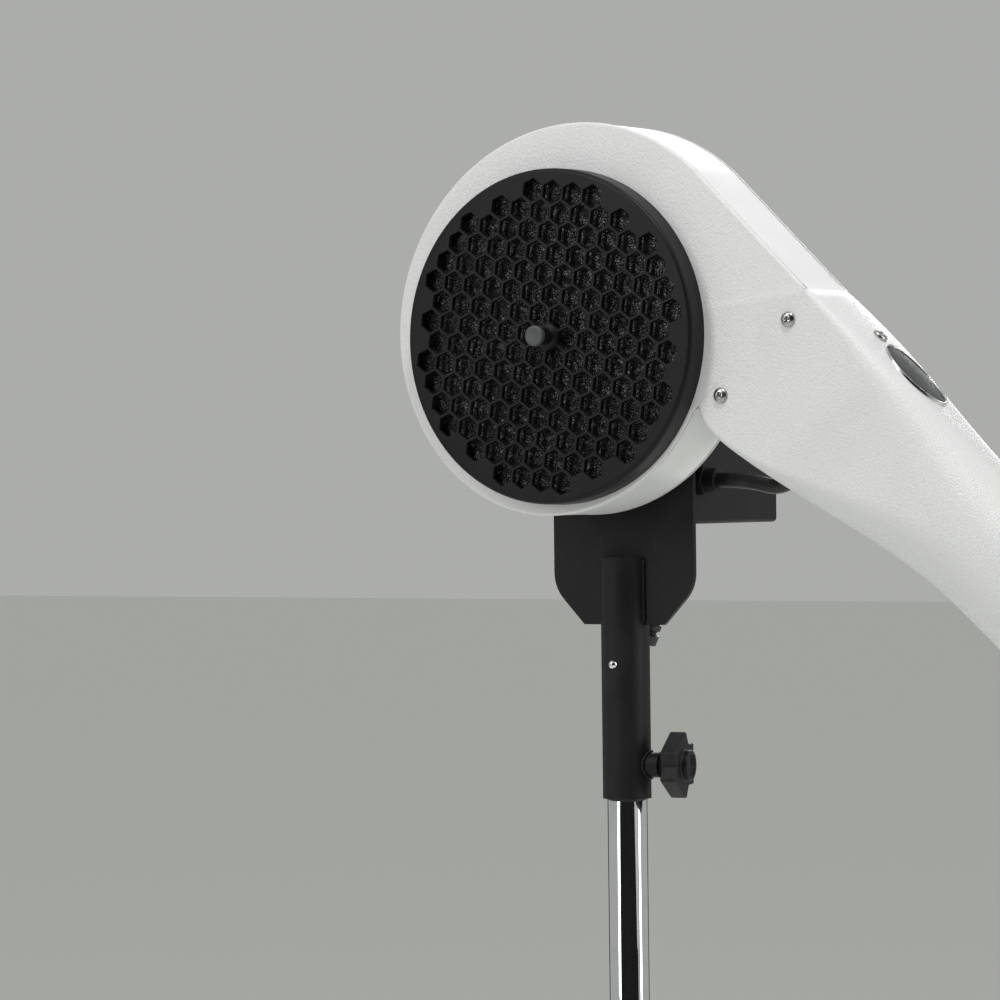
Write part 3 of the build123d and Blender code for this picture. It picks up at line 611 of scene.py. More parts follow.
def honeycomb_tree():
    """Disc with hexagonal holes: points on a staggered grid, kept by distance, cut and extruded."""
    group = bpy.data.node_groups.new("honeycomb_disc", "GeometryNodeTree")
    group_socket(group, "Geometry", "INPUT", "NodeSocketGeometry")
    group_socket(group, "Field Radius", "INPUT", "NodeSocketFloat", 0.093)
    group_socket(group, "Pitch", "INPUT", "NodeSocketFloat", 0.0143)
    group_socket(group, "Rib", "INPUT", "NodeSocketFloat", 0.0015)
    group_socket(group, "Thickness", "INPUT", "NodeSocketFloat", 0.003)
    group_socket(group, "Finish", "INPUT", "NodeSocketMaterial")
    group_socket(group, "Geometry", "OUTPUT", "NodeSocketGeometry")
    tree = group.nodes
    link = group.links.new
    entry = tree.new("NodeGroupInput")
    leave = tree.new("NodeGroupOutput")

    def math_node(operation, first, second):
        node = tree.new("ShaderNodeMath")
        node.operation = operation
        for socket, value in zip(node.inputs, (first, second)):
            if isinstance(value, (int, float)):
                socket.default_value = value
            else:
                link(value, socket)
        return node.outputs[0]

    rows = 17
    points = tree.new("GeometryNodePoints")
    points.inputs["Count"].default_value = rows * rows
    index = tree.new("GeometryNodeInputIndex").outputs[0]
    row = math_node("FLOOR", math_node("DIVIDE", index, rows), 0.0)
    column = math_node("MODULO", index, rows)
    offset = math_node("MULTIPLY", math_node("MODULO", row, 2.0), 0.5)
    middle = (rows - 1) / 2
    x = math_node("MULTIPLY", math_node("SUBTRACT", math_node("ADD", column, offset), middle),
                  entry.outputs["Pitch"])
    y = math_node("MULTIPLY", math_node("SUBTRACT", row, middle),
                  math_node("MULTIPLY", entry.outputs["Pitch"], math.sqrt(3) / 2))
    place = tree.new("ShaderNodeCombineXYZ")
    link(x, place.inputs["X"])
    link(y, place.inputs["Y"])
    link(place.outputs[0], points.inputs["Position"])
    distance = tree.new("ShaderNodeVectorMath")
    distance.operation = "LENGTH"
    position = tree.new("GeometryNodeInputPosition")
    link(position.outputs[0], distance.inputs[0])
    margin = math_node("MULTIPLY", entry.outputs["Pitch"], 0.55)
    reach = math_node("SUBTRACT", entry.outputs["Field Radius"], margin)
    far = math_node("GREATER_THAN", distance.outputs["Value"], reach)
    near = math_node("LESS_THAN", distance.outputs["Value"],
                     math_node("MULTIPLY", entry.outputs["Pitch"], 0.5))
    drop = tree.new("GeometryNodeDeleteGeometry")
    link(points.outputs["Points"], drop.inputs["Geometry"])
    link(math_node("MAXIMUM", far, near), drop.inputs["Selection"])
    cell = tree.new("GeometryNodeCurvePrimitiveCircle")
    cell.inputs["Resolution"].default_value = 6
    link(math_node("DIVIDE", math_node("SUBTRACT", entry.outputs["Pitch"], entry.outputs["Rib"]),
                   math.sqrt(3)), cell.inputs["Radius"])
    upright = tree.new("ShaderNodeCombineXYZ")
    upright.inputs["Z"].default_value = math.pi / 6
    scatter = tree.new("GeometryNodeInstanceOnPoints")
    link(drop.outputs["Geometry"], scatter.inputs["Points"])
    link(cell.outputs["Curve"], scatter.inputs["Instance"])
    link(upright.outputs[0], scatter.inputs["Rotation"])
    real = tree.new("GeometryNodeRealizeInstances")
    link(scatter.outputs["Instances"], real.inputs["Geometry"])
    border = tree.new("GeometryNodeCurvePrimitiveCircle")
    border.inputs["Resolution"].default_value = 160
    link(math_node("ADD", entry.outputs["Field Radius"], 0.0005), border.inputs["Radius"])
    join = tree.new("GeometryNodeJoinGeometry")
    link(border.outputs["Curve"], join.inputs["Geometry"])
    link(real.outputs["Geometry"], join.inputs["Geometry"])
    fill = tree.new("GeometryNodeFillCurve")
    link(join.outputs["Geometry"], fill.inputs["Curve"])
    raise_up = tree.new("GeometryNodeExtrudeMesh")
    raise_up.inputs["Individual"].default_value = False
    link(fill.outputs["Mesh"], raise_up.inputs["Mesh"])
    link(entry.outputs["Thickness"], raise_up.inputs["Offset Scale"])
    turn_over = tree.new("GeometryNodeFlipFaces")
    link(fill.outputs["Mesh"], turn_over.inputs["Mesh"])
    both = tree.new("GeometryNodeJoinGeometry")
    link(raise_up.outputs["Mesh"], both.inputs["Geometry"])
    link(turn_over.outputs["Mesh"], both.inputs["Geometry"])
    merge = tree.new("GeometryNodeMergeByDistance")
    merge.inputs["Distance"].default_value = 0.00001
    link(both.outputs["Geometry"], merge.inputs["Geometry"])
    coat = tree.new("GeometryNodeSetMaterial")
    link(merge.outputs["Geometry"], coat.inputs["Geometry"])
    link(entry.outputs["Finish"], coat.inputs["Material"])
    link(coat.outputs["Geometry"], leave.inputs["Geometry"])
    return group


satin_black = finish(
    "satin_black", (0.009, 0.009, 0.0095), (0.016, 0.016, 0.016), 0.34, 0.46, grain=1700.0,
    depth=0.00009, strength=0.35, patch=14.0, shine=0.2)
honeycomb = geometry_piece("grille_honeycomb", honeycomb_tree(), {
    "Field Radius": field_radius, "Pitch": cell_pitch, "Rib": cell_rib, "Thickness": disc_thickness,
    "Finish": satin_black})
lay = Matrix.Translation((fan_axis.x, grille_front + 3.55 * MM, fan_axis.z))
lay = lay @ Matrix.Rotation(math.radians(90), 4, "X") @ Matrix.Rotation(cell_turn, 4, "Z")
honeycomb.transform(lay)
smooth_by_angle(honeycomb, 20.0)
honeycomb_piece = place_piece(
    "grille_honeycomb", honeycomb, satin_black, "head", "grille_black", "intake_grille")
soften = honeycomb_piece.modifiers.new("soften", "BEVEL")
soften.width = 0.22 * MM
soften.segments = 2
soften.limit_method = "ANGLE"

grille_profile = [
    (98.4, 0.0), (98.95, 0.0), (99.5, 0.06), (100.2, 0.3), (100.8, 0.75), (101.2, 1.35),
    (101.4, 2.1), (101.45, 3.0), (101.5, 8.0), (101.6, 13.6), (101.7, 15.1), (98.8, 15.1),
    (98.4, 14.6)]
grille_base = Vector((fan_axis.x, grille_front, fan_axis.z))
along_x = Vector((1, 0, 0))
rim = ring_mesh("grille_rim", lathe_loops(grille_profile, grille_base, toward_motor, along_x, 192))
smooth_by_angle(rim, 60.0)
place_piece("grille_rim", rim, satin_black, "head", "grille_black")


# ---- Filter foam --------------------------------------------------------------------------------
# A loose round pad of open-cell black foam, held against the housing by the guard. Its glossy
# struts catch the light, and their sparks are also painted as near-white flecks in its colour.
def foam_finish():
    """Black reticulated foam with painted highlights: near-white flecks on its struts."""
    material = bpy.data.materials.new("reticulated_foam")
    material.use_nodes = True
    tree = material.node_tree.nodes
    link = material.node_tree.links.new
    shader = tree["Principled BSDF"]
    shader.inputs["Roughness"].default_value = 0.28
    place = tree.new("ShaderNodeTexCoord")
    cells = tree.new("ShaderNodeTexVoronoi")
    cells.feature = "DISTANCE_TO_EDGE"
    cells.inputs["Scale"].default_value = 560.0
    link(place.outputs["Object"], cells.inputs["Vector"])
    struts = tree.new("ShaderNodeMapRange")
    struts.inputs["From Min"].default_value = 0.02
    struts.inputs["From Max"].default_value = 0.14
    struts.inputs["To Min"].default_value = 1.0
    struts.inputs["To Max"].default_value = 0.0
    link(cells.outputs["Distance"], struts.inputs["Value"])
    flecks = tree.new("ShaderNodeTexNoise")
    flecks.inputs["Scale"].default_value = 900.0
    flecks.inputs["Detail"].default_value = 1.0
    link(place.outputs["Object"], flecks.inputs["Vector"])
    sharp = tree.new("ShaderNodeMapRange")
    sharp.inputs["From Min"].default_value = 0.60
    sharp.inputs["From Max"].default_value = 0.74
    link(flecks.outputs["Fac"], sharp.inputs["Value"])
    clusters = tree.new("ShaderNodeTexNoise")
    clusters.inputs["Scale"].default_value = 26.0
    clusters.inputs["Detail"].default_value = 2.0
    link(place.outputs["Object"], clusters.inputs["Vector"])
    bare = tree.new("ShaderNodeMapRange")
    bare.inputs["From Min"].default_value = 0.42
    bare.inputs["From Max"].default_value = 0.70
    bare.inputs["To Min"].default_value = 0.12
    link(clusters.outputs["Fac"], bare.inputs["Value"])
    # Painted glints: where flecks, patches and strut edges meet, the colour turns near-white as a
    # highlight.
    bright = tree.new("ShaderNodeMath")
    bright.operation = "MULTIPLY"
    link(bare.outputs["Result"], bright.inputs[0])
    link(sharp.outputs["Result"], bright.inputs[1])
    painted_glint = tree.new("ShaderNodeMath")
    painted_glint.operation = "MULTIPLY"
    link(struts.outputs["Result"], painted_glint.inputs[0])
    link(bright.outputs[0], painted_glint.inputs[1])
    tint = tree.new("ShaderNodeMix")
    tint.data_type = "RGBA"
    tint.inputs["A"].default_value = (0.006, 0.006, 0.006, 1.0)
    tint.inputs["B"].default_value = (0.85, 0.85, 0.85, 1.0)
    link(painted_glint.outputs[0], tint.inputs["Factor"])
    link(tint.outputs["Result"], shader.inputs["Base Color"])
    bump = tree.new("ShaderNodeBump")
    bump.inputs["Distance"].default_value = 0.0009
    bump.inputs["Strength"].default_value = 0.9
    link(struts.outputs["Result"], bump.inputs["Height"])
    link(bump.outputs["Normal"], shader.inputs["Normal"])
    return material


def foam_mesh():
    """Thick round pad whose front is crumpled by a fine, fixed random relief."""
    foam_low, foam_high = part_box("foam_filter")
    random = np.random.default_rng(7)
    radii = np.linspace(4.0, (foam_high[0] - foam_low[0]) / 2 / MM, 62)
    steps = 180
    loops = []
    for radius in radii:
        lift = random.uniform(-0.45, 0.45, steps) if radius < 96 else np.zeros(steps)
        turns = 2 * math.pi * np.arange(steps) / steps
        loops.append([
            Vector((math.cos(t) * radius * MM, foam_low[1] + (0.5 + h) * MM, fan_axis.z
                    + math.sin(t) * radius * MM)) for t, h in zip(turns, lift)])
    back_y = foam_high[1]
    loops.append([Vector((p.x, back_y, p.z)) for p in loops[-1]])
    loops.append([Vector((p.x, back_y, p.z)) for p in loops[0]])
    return ring_mesh("foam", loops)


foam = foam_mesh()
smooth_by_angle(foam, 60.0)
foam_piece = place_piece("foam", foam, foam_finish(), "head", "foam", "foam_filter")


# ---- Filter knob --------------------------------------------------------------------------------
# Grey round cap on a darker neck, screwed on the inlet stud; it holds guard and foam in place.
knob_base = Vector((fan_axis.x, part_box("filter_knob")[0][1], fan_axis.z))
cap_profile = [
    (0.0, 0.35), (3.0, 0.22), (5.0, 0.0), (5.7, 0.06), (6.1, 0.4), (6.3, 1.0), (6.3, 3.4),
    (6.1, 3.8), (5.6, 4.0), (0.0, 4.0)]
neck_profile = [
    (0.0, 3.9), (5.0, 3.9), (5.2, 4.4), (5.2, 13.6), (5.8, 14.2), (7.4, 14.5), (0.0, 14.5)]
grey_satin = finish(
    "grey_satin", (0.075, 0.078, 0.082), (0.10, 0.10, 0.105), 0.42, 0.55, grain=2400.0,
    depth=0.00005)
for name, profile, material, slot, replaced in (
        ("knob_cap", cap_profile, grey_satin, "grey_knob", ["filter_knob"]),
        ("knob_neck", neck_profile, satin_black, "grille_black", [])):
    turned = ring_mesh(
        name, lathe_loops(profile, knob_base, toward_motor, along_x, 64), closed=False)
    smooth_by_angle(turned, 40.0)
    place_piece(name, turned, material, "head", slot, *replaced)


# ---- Screws of the housing ----------------------------------------------------------------------
# Zinc pan-head screws with a cross recess: two on each side of the nozzle joint, one on top of
# the nozzle, and five round the disc that closes the motor side.
def screw_head(radius, height):
    """Domed head with a cross recess, pointing up +Z, its seat at zero."""
    steps = 32
    crown = [(radius, 0.0), (radius, height * 0.35), (radius * 0.93, height * 0.62),
             (radius * 0.75, height * 0.85), (radius * 0.5, height * 0.97)]
    work = bmesh.new()
    loops = []
    for ring_radius, z in crown:
        turns = [2 * math.pi * k / steps for k in range(steps)]
        loops.append([work.verts.new((
            ring_radius * math.cos(t), ring_radius * math.sin(t), z)) for t in turns])
    recess = []
    for k in range(steps):
        turn = 2 * math.pi * k / steps
        arm = abs(math.cos(2 * turn)) ** 3
        reach = radius * (0.13 + 0.33 * arm)
        recess.append((reach * math.cos(turn), reach * math.sin(turn)))
    loops.append([work.verts.new((x, y, height)) for x, y in recess])
    loops.append([work.verts.new((x * 0.86, y * 0.86, height * 0.45)) for x, y in recess])
    for here, after in zip(loops, loops[1:]):
        for k in range(steps):
            work.faces.new((here[k], here[(k + 1) % steps], after[(k + 1) % steps], after[k]))
    work.faces.new(loops[-1])
    work.faces.new(loops[0][::-1])
    for face in work.faces:
        face.smooth = True
    mesh = bpy.data.meshes.new("screw_head")
    work.to_mesh(mesh)
    work.free()
    return mesh


def scatter_tree():
    """One shape on every vertex of the carrier, turned to the vertex's own stored turn."""
    group = bpy.data.node_groups.new("set_on_points", "GeometryNodeTree")
    group_socket(group, "Geometry", "INPUT", "NodeSocketGeometry")
    group_socket(group, "Shape", "INPUT", "NodeSocketObject")
    group_socket(group, "Finish", "INPUT", "NodeSocketMaterial")
    group_socket(group, "Geometry", "OUTPUT", "NodeSocketGeometry")
    tree = group.nodes
    link = group.links.new
    entry = tree.new("NodeGroupInput")
    leave = tree.new("NodeGroupOutput")
    shape = tree.new("GeometryNodeObjectInfo")
    link(entry.outputs["Shape"], shape.inputs["Object"])
    turn = tree.new("GeometryNodeInputNamedAttribute")
    turn.data_type = "FLOAT_VECTOR"
    turn.inputs["Name"].default_value = "turn"
    scatter = tree.new("GeometryNodeInstanceOnPoints")
    link(entry.outputs["Geometry"], scatter.inputs["Points"])
    link(shape.outputs["Geometry"], scatter.inputs["Instance"])
    link(turn.outputs["Attribute"], scatter.inputs["Rotation"])
    real = tree.new("GeometryNodeRealizeInstances")
    link(scatter.outputs["Instances"], real.inputs["Geometry"])
    coat = tree.new("GeometryNodeSetMaterial")
    link(real.outputs["Geometry"], coat.inputs["Geometry"])
    link(entry.outputs["Finish"], coat.inputs["Material"])
    link(coat.outputs["Geometry"], leave.inputs["Geometry"])
    return group


set_on_points = scatter_tree()


def scattered(name, shape_mesh, places, material):
    """Copies of a shape at places, each given by a point and the direction its +Z takes."""
    shape = bpy.data.objects.new(name + "_shape", shape_mesh)
    bpy.context.scene.collection.objects.link(shape)
    carrier = bpy.data.meshes.new(name + "_carrier")
    carrier.from_pydata([tuple(point) for point, _, _ in places], [], [])
    turn = carrier.attributes.new("turn", "FLOAT_VECTOR", "POINT")
    for k, (_, direction, spin) in enumerate(places):
        aim = direction.to_track_quat("Z", "Y").to_matrix() @ Matrix.Rotation(spin, 3, "Z")
        turn.data[k].vector = aim.to_euler()
    mesh = geometry_piece(name, set_on_points, {"Shape": shape, "Finish": material}, carrier)
    bpy.data.objects.remove(shape)
    return mesh


zinc = finish(
    "bright_zinc", (0.50, 0.50, 0.49), (0.32, 0.32, 0.31), 0.2, 0.36, metallic=1.0, patch=160.0)
pan_head = screw_head(4.6 * MM, 2.5 * MM)
joint_screws = []
for along, across in ((10.5, 20.5), (8.0, 84.0)):
    for facing, face_y in ((-1, intake_y), (1, motor_y)):
        point = head_point(mouth + along * MM, throat - across * MM, face_y)
        joint_screws.append((point, Vector((0, facing, 0)), 0.4 + along))
top_screw = 51
joint_screws.append((head_point(
    mouth + top_screw * MM, tube_across + nozzle_top(top_screw) * MM, middle_y), rise, 0.3))
screw_mesh = scattered("nozzle_screw_heads", pan_head, joint_screws, zinc)
place_piece("nozzle_screw_heads", screw_mesh, zinc, "head", "chrome", "nozzle_screws")
disc_places = []
for step in range(5):
    turn = math.radians(59.5 + 72 * step)
    reach = volute_radius * 0.90
    point = Vector((reach * math.cos(turn), motor_y, fan_axis.z + reach * math.sin(turn)))
    disc_places.append((point, toward_motor, step * 1.3))
disc_mesh = scattered("disc_screw_heads", screw_head(4.4 * MM, 2.4 * MM), disc_places, zinc)
place_piece("disc_screw_heads", disc_mesh, zinc, "head", "chrome", "disc_screws")


# ---- Badge --------------------------------------------------------------------------------------
# Plain oval plate, bonded to the nozzle's top: a dark domed plastic face in a thin bright metal
# ring, with no lettering.
badge_along = 84
badge_half_length = 25.0
badge_half_width = 14.5
badge_place = head_point(
    mouth + badge_along * MM, tube_across + nozzle_top(badge_along) * MM, middle_y)


def oval_loops(profile):
    """Loops of an oval that follows the nozzle's rounded top."""
    loops = []
    for share, lift in profile:
        loop = []
        for k in range(72):
            turn = 2 * math.pi * k / 72
            along = (badge_half_length - badge_half_width * (1 - share)) * math.cos(turn)
            aside = badge_half_width * share * math.sin(turn)
            sag = aside * aside / (2 * 160.0)
            loop.append(
                badge_place + flow * along * MM + toward_motor * aside * MM
                + rise * (lift - sag) * MM)
        loops.append(loop)
    return loops


ring_finish = finish(
    "badge_ring", (0.66, 0.66, 0.65), (0.5, 0.5, 0.5), 0.14, 0.3, metallic=1.0, patch=120.0)
face_finish = finish(
    "badge_face", (0.030, 0.032, 0.035), (0.07, 0.072, 0.075), 0.30, 0.42, grain=2100.0,
    depth=0.0001, strength=0.5, coat=0.25, patch=90.0)
badge_ring = ring_mesh("badge_ring", oval_loops([
    (1.0, -3.4), (1.0, 1.5), (0.985, 1.8), (0.95, 1.8), (0.93, 1.5), (0.93, -3.4)]))
smooth_by_angle(badge_ring, 50.0)
place_piece("badge_ring", badge_ring, ring_finish, "head", "badge_dark", "badge")
badge_face = ring_mesh("badge_face", oval_loops([
    (0.94, 0.3), (0.94, 1.2), (0.7, 1.45), (0.4, 1.6), (0.05, 1.65)]), closed=False)
smooth_by_angle(badge_face, 50.0)
place_piece("badge_face", badge_face, face_finish, "head", "badge_dark")


# ---- Motor side disc ----------------------------------------------------------------------------
# Painted cover plate that closes the motor-side cheek, held by five screws. It has the same
# grain and is flush but for a fine gap.
def refined(node, name, body, slot, material, bevel, degrees=30.0, segments=2):
    """Copy of a CAD node with its edges broken by a small bevel, standing for the node."""
    work = bmesh.new()
    work.from_mesh(nodes[node].data)
    bmesh.ops.remove_doubles(work, verts=work.verts, dist=2e-6)
    bmesh.ops.dissolve_limit(
        work, angle_limit=math.radians(0.6), verts=work.verts, edges=work.edges)
    mesh = bpy.data.meshes.new(name)
    work.to_mesh(mesh)
    work.free()
    mesh.materials.clear()
    mesh.materials.append(material)
    smooth_by_angle(mesh, degrees)
    piece = place_piece(name, mesh, material, body, slot, node)
    if bevel:
        soften = piece.modifiers.new("soften", "BEVEL")
        soften.width = bevel * MM
        soften.segments = segments
        soften.limit_method = "ANGLE"
        soften.angle_limit = math.radians(degrees)
        soften.harden_normals = True
    return piece


refined("motor_disc", "motor_cover", "head", "white_metal", pebbled_white, 0.35)


# ---- Motor --------------------------------------------------------------------------------------
# Small totally enclosed motor in semi-gloss black paint, bolted to the bracket's plate: end
# shield, frame with horizontal cooling fins, and a pressed fan cowl with a grid of round holes.
motor_paint = finish(
    "motor_paint", (0.010, 0.010, 0.011), (0.020, 0.020, 0.020), 0.17, 0.32, grain=900.0,
    depth=0.00010, strength=0.30, patch=26.0, shine=0.5)
refined("motor_flange", "motor_shield", "head", "motor_black", motor_paint, 0.8)
refined("motor_body", "motor_frame", "head", "motor_black", motor_paint, 0.35)
refined("fan_cowl", "motor_cowl", "head", "motor_black", motor_paint, 0.25, degrees=40.0)
refined("terminal_block", "terminal_cover", "head", "motor_black", motor_paint, 0.8)


# ---- Bracket and collar -------------------------------------------------------------------------
# Folded steel pan with a tongue, let into a slotted tube that slips over the pole. Both have a
# fine black powder coat that rubs shiny where hands hold it.
powder_black = finish(
    "powder_black", (0.010, 0.010, 0.0105), (0.019, 0.019, 0.0195), 0.42, 0.58, grain=1500.0,
    depth=0.00014, strength=0.45, patch=16.0, shine=0.26)
refined("bracket_plate", "bracket_pan", "head", "bracket_black", powder_black, 0.5)
refined("collar_tube", "collar", "head", "bracket_black", powder_black, 0.4)
refined("clamp_boss", "collar_boss", "head", "bracket_black", powder_black, 0.4)
refined("bracket_bolts", "pan_bolts", "head", "bracket_black", powder_black, 0.3)


def weld_bead(name, points, thickness):
    """Rippled bead of weld along a line."""
    places = np.linspace(0, 1, 8 * len(points))
    stops = np.linspace(0, 1, len(points))
    axes = [smooth_through(stops, [p[k] for p in points]) for k in range(3)]
    centres = [Vector([axis(t) for axis in axes]) for t in places]
    loops = []
    for k, centre in enumerate(centres):
        ahead = (centres[min(k + 1, len(centres) - 1)] - centres[max(k - 1, 0)]).normalized()
        across = ahead.orthogonal().normalized()
        other = ahead.cross(across)
        radius = thickness * (1.0 + 0.16 * math.sin(k * 2.1) + 0.08 * math.sin(k * 5.3))
        radius *= 0.5 if k in (0, len(centres) - 1) else 1.0
        loops.append([centre + (across * math.cos(a) + other * math.sin(a)) * radius
                      for a in np.linspace(0, 2 * math.pi, 12, endpoint=False)])
    mesh = ring_mesh(name, loops, closed=False)
    smooth_by_angle(mesh, 60.0)
    place_piece(name, mesh, powder_black, "head", "bracket_black")


collar_low, collar_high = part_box("collar_tube")
plate_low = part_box("bracket_plate")[0]
collar_radius = (collar_high[0] - collar_low[0]) / 2
for number, (side_x, side_y) in enumerate(((-1, -1), (1, -1), (-1, 1), (1, 1))):
    x = side_x * collar_radius * 0.985
    y = side_y * 2.3 * MM
    tall = np.linspace(plate_low[2] + 1.5 * MM, collar_high[2] - 0.5 * MM, 6)
    weld_bead(f"tongue_weld_{number}", [(x, y, z) for z in tall], 1.3 * MM)
knob_axis = math.radians(12.6)
boss_low, boss_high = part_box("clamp_boss")
boss_z = (boss_low[2] + boss_high[2]) / 2
bead_radius = 8.3 * MM
bead = []
for k in range(13):
    turn = 2 * math.pi * k / 12
    aside = bead_radius * math.cos(turn)
    reach = math.sqrt(collar_radius ** 2 - aside ** 2) + 0.4 * MM
    bead.append((
        reach * math.cos(knob_axis) - aside * math.sin(knob_axis),
        reach * math.sin(knob_axis) + aside * math.cos(knob_axis),
        boss_z + bead_radius * math.sin(turn)))
weld_bead("boss_weld", bead, 1.1 * MM)
chrome = finish(
    "chrome", (0.80, 0.81, 0.82), (0.70, 0.71, 0.72), 0.035, 0.075, metallic=1.0, patch=40.0)
refined("stop_pin", "cross_pin", "head", "chrome", chrome, 0.0, degrees=50.0)


# ---- Clamp knobs --------------------------------------------------------------------------------
# Three-lobed knobs in matt black plastic, with a domed centre cap, on threaded studs. One clamps
# the head's collar on the pole, the other clamps the pole in the column.
matt_black = finish(
    "matt_black", (0.011, 0.011, 0.0115), (0.02, 0.02, 0.02), 0.44, 0.6, grain=1900.0,
    depth=0.00012, strength=0.4, patch=30.0, shine=0.3)
for node, name, body in (
        ("clamp_knob", "star_knob_head", "head_clamp"),
        ("column_knob", "star_knob_column", "column_clamp")):
    refined(node, name, body, "knob_black", matt_black, 1.6, degrees=35.0, segments=3)


# ---- Switch box ---------------------------------------------------------------------------------
# Folded steel box in the same powder coat, fixed to the bracket under the motor. Its black
# plastic front holds two rocker keys, a lit green one and a smoke-grey one.
refined("control_box", "switch_box", "head", "bracket_black", powder_black, 0.35)
refined("switch_panel", "switch_front", "head", "knob_black", satin_black, 0.35)


def lens_finish(name, colour, glow):
    """Tinted clear key with moulded ribs; lamp light on one part is painted as a lighter patch."""
    material = bpy.data.materials.new(name)
    material.use_nodes = True
    tree = material.node_tree.nodes
    link = material.node_tree.links.new
    shader = tree["Principled BSDF"]
    shader.inputs["Roughness"].default_value = 0.14
    shader.inputs["Coat Weight"].default_value = 0.5
    place = tree.new("ShaderNodeTexCoord")
    ribs = tree.new("ShaderNodeTexWave")
    ribs.inputs["Scale"].default_value = 150.0
    ribs.inputs["Distortion"].default_value = 3.0
    ribs.inputs["Detail"].default_value = 3.0
    link(place.outputs["Object"], ribs.inputs["Vector"])
    lamp = tree.new("ShaderNodeTexNoise")
    lamp.inputs["Scale"].default_value = 62.0
    lamp.inputs["Detail"].default_value = 1.0
    link(place.outputs["Object"], lamp.inputs["Vector"])
    # Painted lamp light: a lighter patch in the key's colour, given as glow too where glow is set.
    painted_lamp_spot = tree.new("ShaderNodeMapRange")
    painted_lamp_spot.inputs["From Min"].default_value = 0.40
    painted_lamp_spot.inputs["From Max"].default_value = 0.60
    painted_lamp_spot.inputs["To Min"].default_value = 0.12
    link(lamp.outputs["Fac"], painted_lamp_spot.inputs["Value"])
    ribs_and_lamp_light = tree.new("ShaderNodeMath")
    ribs_and_lamp_light.operation = "MULTIPLY_ADD"
    ribs_and_lamp_light.inputs[1].default_value = 0.45
    link(ribs.outputs["Fac"], ribs_and_lamp_light.inputs[0])
    link(painted_lamp_spot.outputs["Result"], ribs_and_lamp_light.inputs[2])
    tint = tree.new("ShaderNodeMix")
    tint.data_type = "RGBA"
    tint.inputs["A"].default_value = (*(channel * 0.25 for channel in colour), 1.0)
    tint.inputs["B"].default_value = (*(channel * 1.5 + 0.01 for channel in colour), 1.0)
    link(ribs_and_lamp_light.outputs[0], tint.inputs["Factor"])
    link(tint.outputs["Result"], shader.inputs["Base Color"])
    shader.inputs["Emission Strength"].default_value = glow
    link(tint.outputs["Result"], shader.inputs["Emission Color"])
    return material


green_lens = lens_finish("green_lens", (0.015, 0.24, 0.13), 0.55)
smoke_lens = lens_finish("smoke_lens", (0.05, 0.052, 0.055), 0.0)
refined("rocker_power", "key_power", "power_key", "key_green", green_lens, 0.7, segments=3)
refined("rocker_heat", "key_heat", "heat_key", "key_smoke", smoke_lens, 0.7, segments=3)
mark_white = finish("mark_white", (0.62, 0.66, 0.62), (0.5, 0.52, 0.5), 0.4, 0.5, patch=60.0)
pivot_depth = 7.43 * MM
key_tilt = math.radians(6)
mark_depth = 6.08 * MM
mark_thickness = 0.24 * MM


def key_marks(node, name, body, bars):
    """Plain dash and dot on a rocker's face, each x, z, width and height in millimetres."""
    low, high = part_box(node)
    centre = (Vector(low) + Vector(high)) / 2
    tilt = Matrix.Translation((centre.x, high[1] - pivot_depth, centre.z))
    tilt = tilt @ Matrix.Rotation(key_tilt, 4, "X")
    work = bmesh.new()
    for x, z, width, height in bars:
        size = Matrix.Diagonal((width * MM, mark_thickness, height * MM, 1.0))
        place = tilt @ Matrix.Translation((x * MM, mark_depth, z * MM)) @ size
        bmesh.ops.create_cube(work, size=1.0, matrix=place)
    mesh = bpy.data.meshes.new(name)
    work.to_mesh(mesh)
    work.free()
    place_piece(name, mesh, mark_white, body, "key_smoke")


plain_marks = [(0.0, 7.0, 6.0, 1.1), (0.0, -7.0, 1.6, 1.6)]
key_marks("rocker_power", "marks_power", "power_key", plain_marks)
key_marks("rocker_heat", "marks_heat", "heat_key", plain_marks)


# ---- Glands and heater lead ---------------------------------------------------------------------
# Black nylon glands, a rubber grommet in the cheek, and the round rubber lead between the heater
# in the nozzle and the box. The supply side has only its gland and flexible sleeve.
rubber = finish(
    "lead_rubber", (0.012, 0.012, 0.012), (0.03, 0.03, 0.03), 0.30, 0.46, grain=1400.0,
    depth=0.00008, strength=0.3, patch=50.0)
refined("box_gland", "side_gland", "head", "knob_black", matt_black, 0.5)
refined("mains_gland", "supply_gland", "head", "knob_black", matt_black, 0.5)
refined("lead_grommet", "cheek_grommet", "head", "lead_black", rubber, 0.0, degrees=40.0)

lead_route = [
    (138.6, -8.4, 21.9), (138.6, 11.0, 21.9), (134.5, 27.5, 6.0), (129.5, 29.5, -21.0),
    (126.0, 28.5, -50.0), (117.0, 28.0, -78.0), (98.0, 27.5, -94.5), (74.0, 27.0, -88.0),
    (52.4, 27.0, -88.0)]
lead_diameter = 9.5 * MM
lead_curve = bpy.data.curves.new("heater_lead_curve", "CURVE")
lead_curve.dimensions = "3D"
lead_curve.bevel_depth = lead_diameter / 2
lead_curve.bevel_resolution = 6
lead_curve.resolution_u = 16
lead_curve.use_fill_caps = True
spline = lead_curve.splines.new("NURBS")
spline.points.add(len(lead_route) - 1)
for point, (x, y, z) in zip(spline.points, lead_route):
    point.co = (x * MM, y * MM, fan_axis.z + z * MM, 1.0)
spline.order_u = 3
spline.use_endpoint_u = True
lead_curve.materials.append(rubber)
lead = bpy.data.objects.new("lead", lead_curve)
bpy.context.scene.collection.objects.link(lead)
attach(lead, "head")
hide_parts("heater_lead")

# The flexible sleeve is a tapered core with raised turns. The real one is cut here and there so
# that it bends; the cuts are not drawn.
sleeve_steps = 140
sleeve_ribs = 9
plain_end = 0.86
sleeve_points = [Vector(p) * MM + fan_axis for p in (
    (10.0, 30.0, -126.9), (9.8, 30.0, -140.0), (7.9, 29.7, -155.0), (4.4, 29.2, -168.5),
    (0.6, 28.7, -180.0), (-3.0, 28.2, -188.6))]


